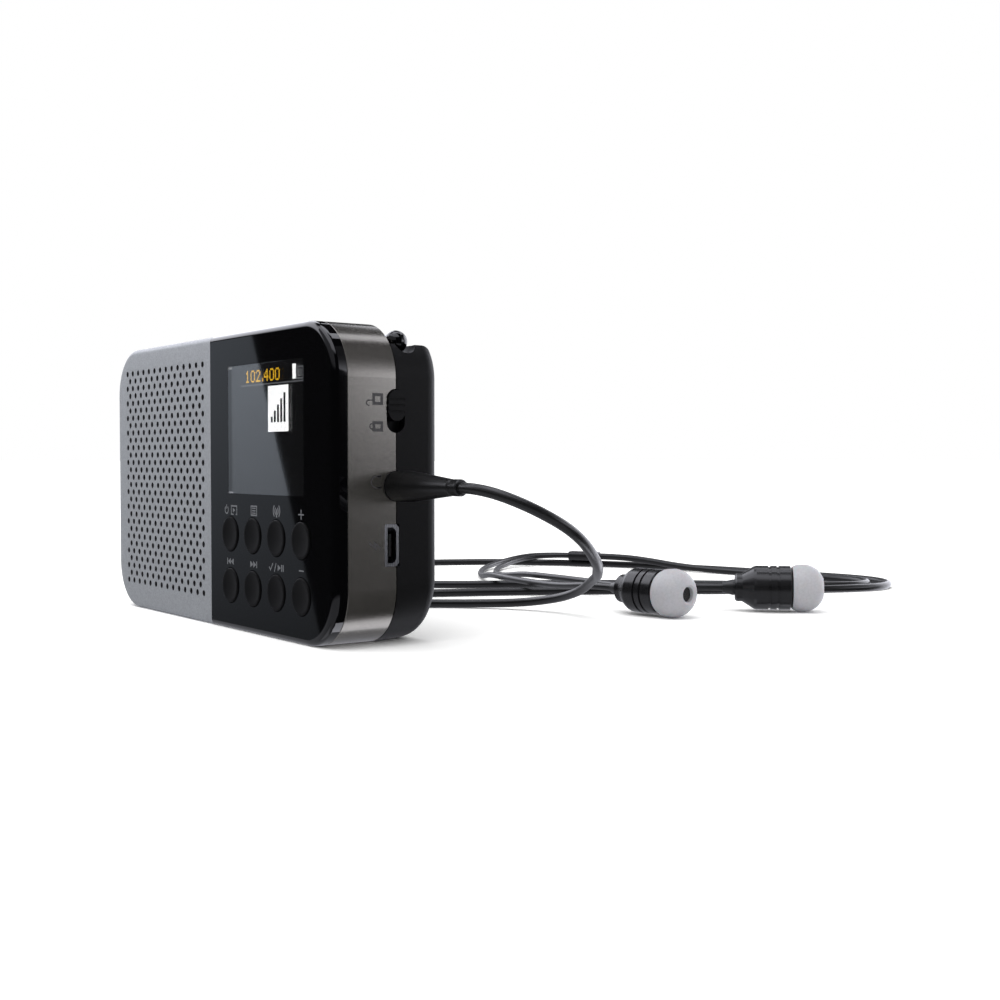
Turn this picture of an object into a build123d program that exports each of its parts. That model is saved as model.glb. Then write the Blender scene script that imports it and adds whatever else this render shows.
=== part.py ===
"""Pocket radio with a pair of earphones plugged in, as an assembly of separate pieces.

X runs to the right, Y to the back and Z up, in millimetres. The origin is on the table, under the
middle of the case. The case is a stack along Y: two front panels, a metal-look band that carries
everything, and a rear cover whose lower corners round off towards the back.
"""

from build123d import *
import os
from math import cos, radians, sin, sqrt, tan

# Case.
CASE_W = 110.6
CASE_H = 64.0
CASE_D = 24.4
Y_FRONT = -12.0  # front face
CORNER_R = 11.3
FOOT_R = 14.0  # lower corners at the back face
PANEL_D = 3.0  # depth of the two front panels
BAND_D = 11.1  # depth of the band behind them
WALL = 1.8  # band and rear cover
PANEL_WALL = 1.6  # front panels, face and skirt
BULKHEAD_T = 1.6  # front wall of the band
FRONT_EDGE_R = 1.3
BACK_EDGE_R = 3.0
SEAM_CHAMFER = 0.2
TONGUE_L = 1.2  # of the rear cover, into the band
TONGUE_T = 1.0

# Clearances.
FIT = 0.05  # between pieces that are fixed together
RUN = 0.2  # around pieces that move

# Front panels.
SPLIT_X = 0.35  # seam between the grille and the glossy fascia
SEAM_RIB = 1.2
PEG_R = 1.0
PEG_INSET = 3.1  # of the pegs from the outer edge, above and below
PEG_SIDE = 3.4
PEG_SPREAD = 24.0
HOLE_D = 1.2
HOLE_SIDES = 6
HOLE_GROW = 1.1  # makes a six-sided hole as open as a round one
HOLE_COLUMNS = 14
HOLE_ROWS = 29
HOLE_PITCH_X = 3.453
HOLE_PITCH_Z = 1.837
FIELD_X = -26.2  # middle of the hole field, and of the speaker behind it
FIELD_RISE = 0.4  # of that middle above the case's
CLOTH_T = 0.3
CLOTH_MARGIN = 1.0
CLOTH_CORNER_R = 2.0

# Display.
SCREEN_W = 34.1
SCREEN_H = 27.4
SCREEN_X = 26.45
SCREEN_DROP = 20.85  # of its middle under the top of the case
WINDOW_R = 0.6
LENS_T = 1.1
MODULE_BORDER = 1.9
MODULE_T = 2.4

# Buttons, in two rows of four.
BUTTON_D = 7.4
BUTTON_PITCH_X = 10.67
BUTTON_PITCH_Z = 11.15
BUTTON_X = 26.3
BUTTON_Z = 15.17
BUTTON_PROUD = 0.3
BUTTON_EDGE_R = 0.2
BUTTON_RIM = 0.45  # around the hollow of the face
BUTTON_HOLLOW = 0.3
BUTTON_FLANGE_W = 0.8
BUTTON_FLANGE_T = 0.7
BUTTON_TRAVEL = 0.5
STEM_D = 3.2

# Circuit board and what is on it.
BOARD_T = 1.6
BOARD_FRONT_Y = -2.6
BOARD_LEFT_X = -3.2
BOARD_EDGE = 0.5
POST_R = 1.9
POST_PLACES = [(3.3, 52.0), (3.3, 15.0), (49.6, 37.0), (26.3, 25.4)]
BOARD_SCREW_R = 0.7
BOARD_SCREW_HEAD_R = 1.6
BOARD_SCREW_HEAD_T = 1.1
KEY_W = 6.0
KEY_BODY_T = 3.5
KEY_CORNER_R = 0.5
KEY_PLUNGER_R = 1.6
KEY_PLUNGER_RISE = 0.75
SHIELD_W = 24.0
SHIELD_H = 20.0
SHIELD_T = 3.0
SHIELD_CORNER_R = 1.5
SHIELD_EDGE_R = 0.5
SHIELD_X = 20.3
SHIELD_Z = 44.0

# Speaker.
SPEAKER_R = 20.0
SPEAKER_FLANGE_W = 2.5
SPEAKER_FLANGE_T = 0.8
SPEAKER_GASKET_T = 0.5
SPEAKER_GASKET_W = 1.4
BASKET_DEPTH = 6.0
BASKET_WALL = 0.8
MAGNET_R = 11.0
MAGNET_T = 6.0
MAGNET_CHAMFER = 0.5
CONE_T = 0.4

# Battery.
BATTERY_W = 34.0
BATTERY_H = 50.0
BATTERY_T = 5.6
BATTERY_CORNER_R = 1.2
BATTERY_EDGE_R = 0.8
BATTERY_X = 17.3
BATTERY_Z = 28.0

# Case screws, driven from the back.
SCREW_LOW_INSET = 4.6  # from the inner wall, outside the buttons
SCREW_LOW_RISE = 8.2  # from the inner wall
SCREW_HIGH_INSET = 7.5  # from the inner wall, inside the lock switch
SCREW_HIGH_DROP = 14.4
CROSS_L = 2.2
CROSS_W = 0.6
CROSS_DEPTH = 0.8
SCREW_R = 1.0
SCREW_HEAD_R = 2.0
SCREW_HEAD_T = 1.6
SCREW_SINK = 2.8  # of the head under the back face
SCREW_L = 13.0
BOSS_R = 2.6
REAR_BOSS_R = 2.8

# Right side, front to back and bottom to top.
JACK_Y = 2.1
JACK_Z = 31.6
JACK_BORE_R = 1.8
JACK_NOSE_R = 3.0
JACK_BODY_L = 13.2
JACK_BODY_H = 6.0
USB_Y = 1.0
USB_Z = 20.0
USB_W = 7.6
USB_T = 2.6
USB_L = 5.6
USB_SHEET = 0.3
USB_LIP = 0.35
USB_SLANT = 0.7
USB_TONGUE_T = 0.6
USB_TONGUE_W = 4.4
USB_TONGUE_SINK = 1.0  # of the tongue's end inside the mouth
LOCK_Y = 1.9
LOCK_Z = 46.3
LOCK_SLOT_L = 8.6
LOCK_SLOT_W = 4.2
LOCK_KNOB_L = 6.1
LOCK_PROUD = 0.5
LOCK_RIDGE_PITCH = 1.2
LOCK_GROOVE_W = 0.5
LOCK_GROOVE_DEPTH = 0.3
LOCK_PLATE_T = 0.8
LOCK_STUB_W = 1.6
LOCK_STUB_L = 2.4
LOCK_BODY_D = 3.2
LOCK_BODY_MARGIN = 1.1  # past each end of the slot

# Telescopic antenna, lying in a step along the top of the rear cover.
STEP_DROP = 4.4  # under the top of the case
ANTENNA_Y = 5.5
ANTENNA_DROP = 3.7
PIVOT_INSET = 10.0  # from the left side
TIP_INSET = 3.4  # from the right side
CHANNEL_R = 2.8
CEILING_T = 1.9
TIP_R = 2.3
TUBE_RADII = [1.7, 1.35, 1.0, 0.65]  # outer radii from the thickest stage to the rod
TUBE_WALL = 0.25
TUBE_MOUTH_STEP = 0.2
TUBE_ROOT_STEP = 1.2
EAR_R = 2.3
EAR_T = 1.1
KNUCKLE_T = 2.6
KNUCKLE_R = 2.2
KNUCKLE_NECK = 3.0
KNUCKLE_COLLAR_L = 4.0
SPIGOT_L = 3.0
PIVOT_R = 0.8
BRACKET_BASE_T = 1.2
BRACKET_SINK = 0.9
STUD_R = 1.2
NUT_W = 5.0
NUT_T = 1.6

# Earphones.
PLUG_GAP = 0.15  # between the plug and the case
PLUG_R = 3.0
PLUG_L = 22.0
PLUG_END_R = 1.6
PIN_R = 1.75
PIN_L = 14.0
CORD_D = 2.1
BUD_CORD_D = 1.7
SPLITTER_L = 10.0
SPLITTER_W = 5.2
SPLITTER_T = 3.0
SPLITTER_PITCH = 2.2
BUD_R = 5.3
BUD_CAP_R = 3.4
BUD_CAP_L = 1.7
BUD_FLARE_L = 2.7
BUD_L = 13.6
BUD_NOZZLE_R = 2.3
BUD_NOZZLE_L = 3.4
EAR_TIP_R = 5.65
EAR_TIP_L = 7.4
EAR_TIP_HOLE_R = 1.8
RELIEF_L = 3.0
RELIEF_R = 1.9
LEFT_BUD = (36.3, 78.1, 5.75)
LEFT_BUD_TURN = 5.0
RIGHT_BUD = (50.8, 101.8, 5.75)
RIGHT_BUD_TURN = 46.0
SPLITTER_START = (-70.2, 162.2, 3.7)
SPLITTER_TURN = 207.3
ARC_SHARE = 0.45  # of the shorter run at each bend of a cord
GAP_STEP = 1.5

# Planes and places that follow from these.
Y_PANEL = Y_FRONT + PANEL_D
Y_PART = Y_PANEL + BAND_D
Y_BACK = Y_FRONT + CASE_D
Y_FACE_INNER = Y_FRONT + PANEL_WALL
Y_BULKHEAD = Y_PANEL + BULKHEAD_T
Y_BACK_INNER = Y_BACK - WALL
X_SIDE = CASE_W / 2
X_SIDE_INNER = X_SIDE - WALL
BOARD_BACK_Y = BOARD_FRONT_Y + BOARD_T
FIELD_Z = CASE_H / 2 + FIELD_RISE
SCREEN_Z = CASE_H - SCREEN_DROP
SCREW_LOW_X = X_SIDE_INNER - SCREW_LOW_INSET
SCREW_LOW_Z = WALL + SCREW_LOW_RISE
SCREW_HIGH_X = X_SIDE_INNER - SCREW_HIGH_INSET
SCREW_HIGH_Z = CASE_H - SCREW_HIGH_DROP
STEP_Z = CASE_H - STEP_DROP
ANTENNA_Z = CASE_H - ANTENNA_DROP
PIVOT_X = -X_SIDE + PIVOT_INSET
TIP_X = X_SIDE - TIP_INSET - TIP_R
CHANNEL_FLOOR_Z = ANTENNA_Z - CHANNEL_R
CEILING_Z = CHANNEL_FLOOR_Z - CEILING_T
FAR = 2 * CASE_W


def xz(x, y, z):
    """Plane square to Y, with local x along X and local y along Z. It extrudes to the front."""
    return Plane(origin=(x, y, z), x_dir=(1, 0, 0), z_dir=(0, -1, 0))


def yz(x, y, z):
    """Plane square to X, with local x along Y and local y along Z. It extrudes to the right."""
    return Plane(origin=(x, y, z), x_dir=(0, 1, 0), z_dir=(1, 0, 0))


def block(x, y, z):
    """Box between two values on each axis."""
    middle = [(low + high) / 2 for low, high in (x, y, z)]
    return Pos(*middle) * Box(x[1] - x[0], y[1] - y[0], z[1] - z[0])


def slab(inset, y_front, y_back):
    """The case's rounded outline, drawn in by an inset, between two depths."""
    face = RectangleRounded(CASE_W - 2 * inset, CASE_H - 2 * inset, CORNER_R - inset)
    return extrude(xz(0, y_back, CASE_H / 2) * face, y_back - y_front)


def back_form(inset, y_back):
    """The same outline from the band to the back, with its lower corners growing rounder on the way."""
    ends = []
    for y, foot_r in ((Y_PART, CORNER_R), (y_back, FOOT_R)):
        face = Rectangle(CASE_W - 2 * inset, CASE_H - 2 * inset)
        face = fillet(face.vertices().group_by(Axis.Y)[0], foot_r - inset)
        face = fillet(face.vertices().group_by(Axis.Y)[-1], CORNER_R - inset)
        ends.append(xz(0, y, CASE_H / 2) * face)
    return loft(ends, ruled=True)


def rod_y(x, z, radius, y_front, y_back):
    return extrude(xz(x, y_back, z) * Circle(radius), y_back - y_front)


def rod_x(y, z, radius, x_left, x_right):
    return extrude(yz(x_left, y, z) * Circle(radius), x_right - x_left)


def turned_y(x, z, profile):
    """Solid of revolution about a line along Y, from (radius, y) points."""
    face = make_face(Polyline([(x + radius, y, z) for radius, y in profile], close=True))
    return revolve(face, Axis((x, 0, z), (0, 1, 0)))


def turned_x(y, z, profile):
    """Solid of revolution about a line along X, from (x, radius) points."""
    face = make_face(Polyline([(x, y + radius, z) for x, radius in profile], close=True))
    return revolve(face, Axis((0, y, z), (1, 0, 0)))


def front_panels():
    """The grille and the fascia: one rounded tray, pierced on the left, parted at the seam."""
    tray = slab(0, Y_FRONT, Y_PANEL)
    tray = fillet(tray.faces().sort_by(Axis.Y)[0].edges(), FRONT_EDGE_R)
    tray -= slab(PANEL_WALL, Y_FACE_INNER, Y_PANEL)
    seam_left = SPLIT_X - FIT
    seam_right = SPLIT_X + FIT
    rib_z = (PANEL_WALL / 2, CASE_H - PANEL_WALL / 2)
    left_rib = block((seam_left - SEAM_RIB, seam_left), (Y_FACE_INNER - FIT, Y_PANEL), rib_z)
    right_rib = block((seam_right, seam_right + SEAM_RIB), (Y_FACE_INNER - FIT, Y_PANEL), rib_z)
    grille = tray - block((seam_left, FAR), (-FAR, FAR), (-FAR, FAR)) + left_rib
    fascia = tray - block((-FAR, seam_right), (-FAR, FAR), (-FAR, FAR)) + right_rib
    grille += [rod_y(x, z, PEG_R, Y_FACE_INNER - FIT, Y_BULKHEAD - FIT) for x, z in grille_pegs()]
    fascia += [rod_y(x, z, PEG_R, Y_FACE_INNER - FIT, Y_BULKHEAD - FIT) for x, z in fascia_pegs()]
    hole = RegularPolygon(HOLE_GROW * HOLE_D / 2, HOLE_SIDES)
    grille -= [extrude(xz(x, Y_FACE_INNER + FIT, z) * hole, PANEL_WALL + 2 * FIT) for x, z in grille_holes()]
    window = RectangleRounded(SCREEN_W, SCREEN_H, WINDOW_R)
    fascia -= extrude(xz(SCREEN_X, Y_PANEL, SCREEN_Z) * window, FAR)
    fascia -= [rod_y(x, z, BUTTON_D / 2 + RUN, -FAR, Y_PANEL) for x, z in button_places()]
    return grille, fascia


def grille_holes():
    """Staggered rows: full rows of holes with rows of one hole fewer between them."""
    places = []
    for row in range(HOLE_ROWS):
        count = HOLE_COLUMNS - row % 2
        z = FIELD_Z + (row - (HOLE_ROWS - 1) / 2) * HOLE_PITCH_Z
        places += [(FIELD_X + (i - (count - 1) / 2) * HOLE_PITCH_X, z) for i in range(count)]
    return places


def grille_pegs():
    side = -X_SIDE + PEG_SIDE
    middle = CASE_H / 2
    ends = [(FIELD_X, PEG_INSET), (FIELD_X, CASE_H - PEG_INSET)]
    return ends + [(side, middle - PEG_SPREAD / 2), (side, middle + PEG_SPREAD / 2)]


def fascia_pegs():
    side = X_SIDE - PEG_SIDE
    middle = CASE_H / 2
    seam = SPLIT_X + PEG_SIDE
    return [(SCREEN_X, PEG_INSET), (SCREEN_X, CASE_H - PEG_INSET), (side, middle), (seam, middle)]


def button_places():
    """Upper row from left to right, then the lower row."""
    columns = [BUTTON_X + (i - 1.5) * BUTTON_PITCH_X for i in range(4)]
    rows = [BUTTON_Z + BUTTON_PITCH_Z / 2, BUTTON_Z - BUTTON_PITCH_Z / 2]
    return [(x, z) for z in rows for x in columns]


def screw_places():
    low = [(-SCREW_LOW_X, SCREW_LOW_Z), (SCREW_LOW_X, SCREW_LOW_Z)]
    return low + [(-SCREW_HIGH_X, SCREW_HIGH_Z), (SCREW_HIGH_X, SCREW_HIGH_Z)]


def side_ports():
    """Cutters through the right wall for the jack, charging socket and lock slot."""
    x = X_SIDE_INNER - WALL
    usb = RectangleRounded(USB_T + 2 * USB_LIP + 2 * FIT, USB_W + 2 * USB_LIP + 2 * FIT, USB_SHEET)
    slot = SlotOverall(LOCK_SLOT_L, LOCK_SLOT_W, rotation=90)
    return [
        rod_x(JACK_Y, JACK_Z, JACK_NOSE_R + FIT, x, FAR),
        extrude(yz(x, USB_Y, USB_Z) * usb, FAR),
        extrude(yz(x, LOCK_Y, LOCK_Z) * slot, FAR),
    ]


def front_housing():
    """The band: a tub that opens to the back, with screw bosses, board posts and a pierced front wall."""
    outer = slab(0, Y_PANEL, Y_PART)
    rims = outer.faces().sort_by(Axis.Y)
    outer = chamfer(rims[0].edges() + rims[-1].edges(), SEAM_CHAMFER)
    cavity = slab(WALL, Y_BULKHEAD, Y_PART)
    # The top of the back stays closed, behind the antenna.
    cavity -= block((-FAR, FAR), (Y_PART - BULKHEAD_T, FAR), (CEILING_Z + CEILING_T / 2, FAR))
    body = outer - cavity
    body += [rod_y(x, z, BOSS_R, Y_BULKHEAD - FIT, Y_PART - FIT) for x, z in screw_places()]
    body += [rod_y(x, z, POST_R, Y_BULKHEAD - FIT, BOARD_FRONT_Y) for x, z in POST_PLACES]
    screw_tip_y = Y_BACK - SCREW_SINK - SCREW_HEAD_T - SCREW_L
    pilots = [rod_y(x, z, SCREW_R + FIT, screw_tip_y - FIT, FAR) for x, z in screw_places()]
    pilots += [rod_y(x, z, BOARD_SCREW_R + FIT, Y_BULKHEAD, FAR) for x, z in POST_PLACES]
    pegs = [rod_y(x, z, PEG_R + FIT, -FAR, Y_BULKHEAD) for x, z in grille_pegs() + fascia_pegs()]
    stems = [rod_y(x, z, STEM_D / 2 + 2 * RUN, -FAR, Y_BULKHEAD) for x, z in button_places()]
    sound = rod_y(FIELD_X, FIELD_Z, SPEAKER_R - SPEAKER_FLANGE_W, -FAR, Y_BULKHEAD)
    module_w = SCREEN_W + 2 * MODULE_BORDER + 4 * FIT
    module_h = SCREEN_H + 2 * MODULE_BORDER + 4 * FIT
    module = extrude(xz(SCREEN_X, Y_BULKHEAD, SCREEN_Z) * Rectangle(module_w, module_h), FAR)
    return body - (pilots + pegs + stems + side_ports() + [sound, module])


def rear_cover():
    """Closed back with the antenna's step and channel, a locating tongue and four counterbored bosses."""
    outer = back_form(0, Y_BACK) - block((-FAR, FAR), (-FAR, FAR), (STEP_Z, FAR))
    outer = fillet(outer.faces().sort_by(Axis.Y)[-1].edges(), BACK_EDGE_R)
    cavity = back_form(WALL, Y_BACK_INNER) - block((-FAR, FAR), (-FAR, FAR), (CEILING_Z, FAR))
    body = outer - cavity
    # The tongue stands inside the band along the bottom and the left, clear of the sockets on the right.
    tongue = slab(WALL, Y_PART, Y_PART + WALL) + slab(WALL + FIT, Y_PART - TONGUE_L, Y_PART)
    tongue -= slab(WALL + TONGUE_T, Y_PART - WALL, Y_PART + 2 * WALL)
    tongue -= block((-FAR, FAR), (-FAR, FAR), (CASE_H / 2, FAR))
    tongue -= block((SCREW_HIGH_X, FAR), (-FAR, FAR), (-FAR, FAR))
    body += tongue
    body += [rod_y(x, z, REAR_BOSS_R, Y_PART, Y_BACK_INNER + FIT) for x, z in screw_places()]
    seat_y = Y_BACK - SCREW_SINK - SCREW_HEAD_T
    holes = [rod_y(x, z, SCREW_R + RUN, -FAR, Y_BACK) for x, z in screw_places()]
    holes += [rod_y(x, z, SCREW_HEAD_R + RUN, seat_y, FAR) for x, z in screw_places()]
    left = PIVOT_X - KNUCKLE_NECK - RUN
    right = TIP_X + TIP_R + RUN
    round_floor = rod_x(ANTENNA_Y, ANTENNA_Z, CHANNEL_R, left, right)
    open_front = block((left, right), (Y_PART - FIT, ANTENNA_Y), (CHANNEL_FLOOR_Z, FAR))
    open_top = block((left, right), (Y_PART - FIT, ANTENNA_Y + CHANNEL_R), (ANTENNA_Z, FAR))
    # A round notch in the end wall lets the tip and the stages draw out to the right.
    notch = rod_x(ANTENNA_Y, ANTENNA_Z, TIP_R + RUN, TIP_X, FAR)
    base = EAR_R + FIT
    base_y = (ANTENNA_Y - KNUCKLE_T / 2 - RUN - EAR_T, ANTENNA_Y + KNUCKLE_T / 2 + RUN + EAR_T)
    pocket = block((PIVOT_X - base, PIVOT_X + base), base_y, (CHANNEL_FLOOR_Z - BRACKET_SINK, FAR))
    stud = Pos(PIVOT_X, ANTENNA_Y, CHANNEL_FLOOR_Z) * Cylinder(STUD_R + FIT, 4 * CEILING_T)
    return body - (holes + side_ports() + [round_floor, open_front, open_top, notch, pocket, stud])


def case_screws():
    """Four cross-slot screws, each a flat head and a plain shank."""
    seat_y = Y_BACK - SCREW_SINK - SCREW_HEAD_T
    screws = []
    for x, z in screw_places():
        screw = rod_y(x, z, SCREW_R, seat_y - SCREW_L, seat_y)
        screw += rod_y(x, z, SCREW_HEAD_R, seat_y, Y_BACK - SCREW_SINK)
        slot = Rectangle(CROSS_W, CROSS_L) + Rectangle(CROSS_L, CROSS_W)
        screws.append(screw - extrude(xz(x, Y_BACK, z) * slot, SCREW_SINK + CROSS_DEPTH))
    return Compound(children=screws)


def grille_cloth():
    """Thin dust cloth behind the holes."""
    width = (HOLE_COLUMNS - 1) * HOLE_PITCH_X + HOLE_D + 2 * CLOTH_MARGIN
    height = (HOLE_ROWS - 1) * HOLE_PITCH_Z + HOLE_D + 2 * CLOTH_MARGIN
    sheet = RectangleRounded(width, height, CLOTH_CORNER_R)
    return extrude(xz(FIELD_X, Y_FACE_INNER + FIT + CLOTH_T, FIELD_Z) * sheet, CLOTH_T)


def speaker():
    """Gasket, pressed basket, magnet, and paper cone with a rolled edge and a dust cap."""
    front = Y_BULKHEAD + SPEAKER_GASKET_T
    inner = SPEAKER_R - SPEAKER_FLANGE_W
    back = front + SPEAKER_FLANGE_T
    deep = front + BASKET_DEPTH
    gasket = rod_y(FIELD_X, FIELD_Z, SPEAKER_R, Y_BULKHEAD, front)
    gasket -= rod_y(FIELD_X, FIELD_Z, SPEAKER_R - SPEAKER_GASKET_W, Y_BULKHEAD, front)
    basket = [
        (SPEAKER_R, front),
        (SPEAKER_R, back),
        (inner + BASKET_WALL, back),
        (MAGNET_R + 2 * BASKET_WALL, deep),
        (MAGNET_R / 2, deep),
        (MAGNET_R / 2, deep - BASKET_WALL),
        (MAGNET_R + BASKET_WALL, deep - BASKET_WALL),
        (inner - RUN, front + SPEAKER_FLANGE_T / 2),
        (inner - RUN, front),
    ]
    frame = turned_y(FIELD_X, FIELD_Z, basket)
    magnet = rod_y(FIELD_X, FIELD_Z, MAGNET_R, deep, deep + MAGNET_T)
    magnet = chamfer(magnet.edges(), MAGNET_CHAMFER)
    rim = SPEAKER_R - 1.6
    cone_profile = [
        (rim, front - CONE_T),
        (rim, front),
        (rim - 2.6, front),
        (rim - 4.0, front + 0.6),
        (5.6, front + 3.6),
        (3.2, front + 2.6),
        (0.0, front + 2.2),
        (0.0, front + 1.7),
        (3.4, front + 2.1),
        (5.6, front + 3.0),
        (rim - 4.0, front + 0.1),
        (rim - 2.6, front - CONE_T),
    ]
    cone = turned_y(FIELD_X, FIELD_Z, cone_profile)
    return gasket, frame, magnet, cone


def display():
    """Clear lens flush with the fascia, and the display module behind it."""
    lens_face = RectangleRounded(SCREEN_W - 2 * FIT, SCREEN_H - 2 * FIT, WINDOW_R - FIT)
    lens = extrude(xz(SCREEN_X, Y_FRONT + LENS_T, SCREEN_Z) * lens_face, LENS_T)
    module_front = Y_FACE_INNER + FIT
    module_w = SCREEN_W + 2 * MODULE_BORDER
    module_h = SCREEN_H + 2 * MODULE_BORDER
    frame = Rectangle(module_w, module_h)
    module = extrude(xz(SCREEN_X, module_front + MODULE_T, SCREEN_Z) * frame, MODULE_T)
    # The glass stands up from the metal frame into the window.
    glass_front = Y_FRONT + LENS_T + FIT
    glass_w = SCREEN_W - 8 * FIT
    glass_h = SCREEN_H - 8 * FIT
    glass_t = module_front - glass_front + FIT
    module += extrude(xz(SCREEN_X, module_front + FIT, SCREEN_Z) * Rectangle(glass_w, glass_h), glass_t)
    return lens, module


def button(x, z):
    """Round cap with a hollow face, a flange behind the fascia, and a stem towards its key switch."""
    cap_y = Y_FRONT - BUTTON_PROUD
    cap = rod_y(x, z, BUTTON_D / 2, cap_y, Y_FACE_INNER + 2 * FIT)
    cap = fillet(cap.edges().group_by(Axis.Y)[0], BUTTON_EDGE_R)
    hollow_r = BUTTON_D / 2 - BUTTON_RIM
    ball_r = (hollow_r**2 + BUTTON_HOLLOW**2) / (2 * BUTTON_HOLLOW)
    cap -= Pos(x, cap_y + BUTTON_HOLLOW - ball_r, z) * Sphere(ball_r)
    flange_y = Y_FACE_INNER + FIT
    flange = rod_y(x, z, BUTTON_D / 2 + BUTTON_FLANGE_W, flange_y, flange_y + BUTTON_FLANGE_T)
    stem = rod_y(x, z, STEM_D / 2, flange_y, key_top_y() - BUTTON_TRAVEL - 2 * FIT)
    return cap + flange + stem


def key_top_y():
    return BOARD_FRONT_Y - KEY_BODY_T - KEY_PLUNGER_RISE


def key_switches():
    """One push switch on the board behind each button."""
    keys = []
    for x, z in button_places():
        body = extrude(xz(x, BOARD_FRONT_Y, z) * RectangleRounded(KEY_W, KEY_W, KEY_CORNER_R), KEY_BODY_T)
        keys.append(body + rod_y(x, z, KEY_PLUNGER_R, key_top_y(), BOARD_FRONT_Y))
    return Compound(children=keys)


def main_board():
    """Board that follows the right half of the case, notched round the case bosses."""
    board = slab(WALL + BOARD_EDGE, BOARD_FRONT_Y, BOARD_BACK_Y)
    board -= block((-FAR, BOARD_LEFT_X), (-FAR, FAR), (-FAR, FAR))
    board -= [rod_y(x, z, BOSS_R + BOARD_EDGE, -FAR, FAR) for x, z in screw_places()]
    board -= [rod_y(x, z, BOARD_SCREW_R + FIT, -FAR, FAR) for x, z in POST_PLACES]
    return board


def board_screws():
    screws = []
    for x, z in POST_PLACES:
        shank = rod_y(x, z, BOARD_SCREW_R, Y_BULKHEAD + RUN, BOARD_BACK_Y)
        head_y = BOARD_BACK_Y + BOARD_SCREW_HEAD_T
        screws.append(shank + rod_y(x, z, BOARD_SCREW_HEAD_R, BOARD_BACK_Y, head_y))
    return Compound(children=screws)


def radio_shield():
    """Drawn metal can over the receiver, with rounded upright edges."""
    face = RectangleRounded(SHIELD_W, SHIELD_H, SHIELD_CORNER_R)
    can = extrude(xz(SHIELD_X, BOARD_BACK_Y + SHIELD_T, SHIELD_Z) * face, SHIELD_T)
    return fillet(can.faces().sort_by(Axis.Y)[-1].edges(), SHIELD_EDGE_R)


def battery():
    """Flat cell against the back wall."""
    back = Y_BACK_INNER - FIT
    face = RectangleRounded(BATTERY_W, BATTERY_H, BATTERY_CORNER_R)
    cell = extrude(xz(BATTERY_X, back, BATTERY_Z) * face, BATTERY_T)
    return fillet(cell.faces().sort_by(Axis.Y)[0].edges(), BATTERY_EDGE_R)


def headphone_jack():
    """Moulded socket on the board, with a round nose in the wall and a bore for the plug's pin."""
    right = X_SIDE_INNER - 2 * FIT
    left = right - JACK_BODY_L
    top = JACK_Z + JACK_BODY_H / 2
    low = JACK_Z - JACK_BODY_H / 2
    body = block((left, right), (BOARD_BACK_Y, 2 * JACK_Y - BOARD_BACK_Y), (low, top))
    body += rod_x(JACK_Y, JACK_Z, JACK_NOSE_R, right - FIT, X_SIDE - 2 * FIT)
    return body - rod_x(JACK_Y, JACK_Z, JACK_BORE_R, X_SIDE + PLUG_GAP - PIN_L - 0.5, FAR)


def usb_socket():
    """Folded-metal shell with slanted corners, a flared lip and two legs, and the contact tongue."""
    left = X_SIDE - 2 * FIT - USB_L
    right = X_SIDE - 2 * FIT

    def shell_face(grow):
        half_t = USB_T / 2 + grow
        half_w = USB_W / 2 + grow
        outline = [
            (-half_t, -half_w),
            (half_t - USB_SLANT, -half_w),
            (half_t, -half_w + USB_SLANT),
            (half_t, half_w - USB_SLANT),
            (half_t - USB_SLANT, half_w),
            (-half_t, half_w),
        ]
        return make_face(Polyline(outline, close=True))

    shell = extrude(yz(left, USB_Y, USB_Z) * shell_face(0), USB_L)
    shell += extrude(yz(right - USB_SHEET, USB_Y, USB_Z) * shell_face(USB_LIP), USB_SHEET)
    shell -= extrude(yz(left + USB_SHEET, USB_Y, USB_Z) * shell_face(-USB_SHEET), FAR)
    leg_y = (BOARD_BACK_Y, USB_Y - USB_T / 2 + FIT)
    for side in (-1, 1):
        z = USB_Z + side * (USB_W / 2 - 0.5)
        shell += block((left + 1.0, left + 2.6), leg_y, (z - 0.4, z + 0.4))
    tongue_y = (USB_Y - 0.1, USB_Y - 0.1 + USB_TONGUE_T)
    tongue_z = (USB_Z - USB_TONGUE_W / 2, USB_Z + USB_TONGUE_W / 2)
    tongue = block((left + USB_SHEET, right - USB_TONGUE_SINK), tongue_y, tongue_z)
    return shell, tongue


def lock_switch():
    """Slide switch on the board, slotted for the stub of the lock slider."""
    right = X_SIDE_INNER - RUN - LOCK_PLATE_T - RUN
    left = right - LOCK_BODY_D
    half_h = LOCK_SLOT_L / 2 + LOCK_BODY_MARGIN
    body = block((left, right), (BOARD_BACK_Y, 2 * LOCK_Y - BOARD_BACK_Y), (LOCK_Z - half_h, LOCK_Z + half_h))
    travel = lock_travel()
    top = lock_knob_z() + LOCK_STUB_W / 2 + RUN
    low = lock_knob_z() - travel - LOCK_STUB_W / 2 - RUN
    half = LOCK_STUB_W / 2 + RUN
    return body - block((right - LOCK_STUB_L, FAR), (LOCK_Y - half, LOCK_Y + half), (low, top))


def lock_travel():
    return LOCK_SLOT_L - LOCK_KNOB_L - 2 * RUN


def lock_knob_z():
    """Middle of the knob at the upper end of its slot."""
    return LOCK_Z + LOCK_SLOT_L / 2 - RUN - LOCK_KNOB_L / 2


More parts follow.
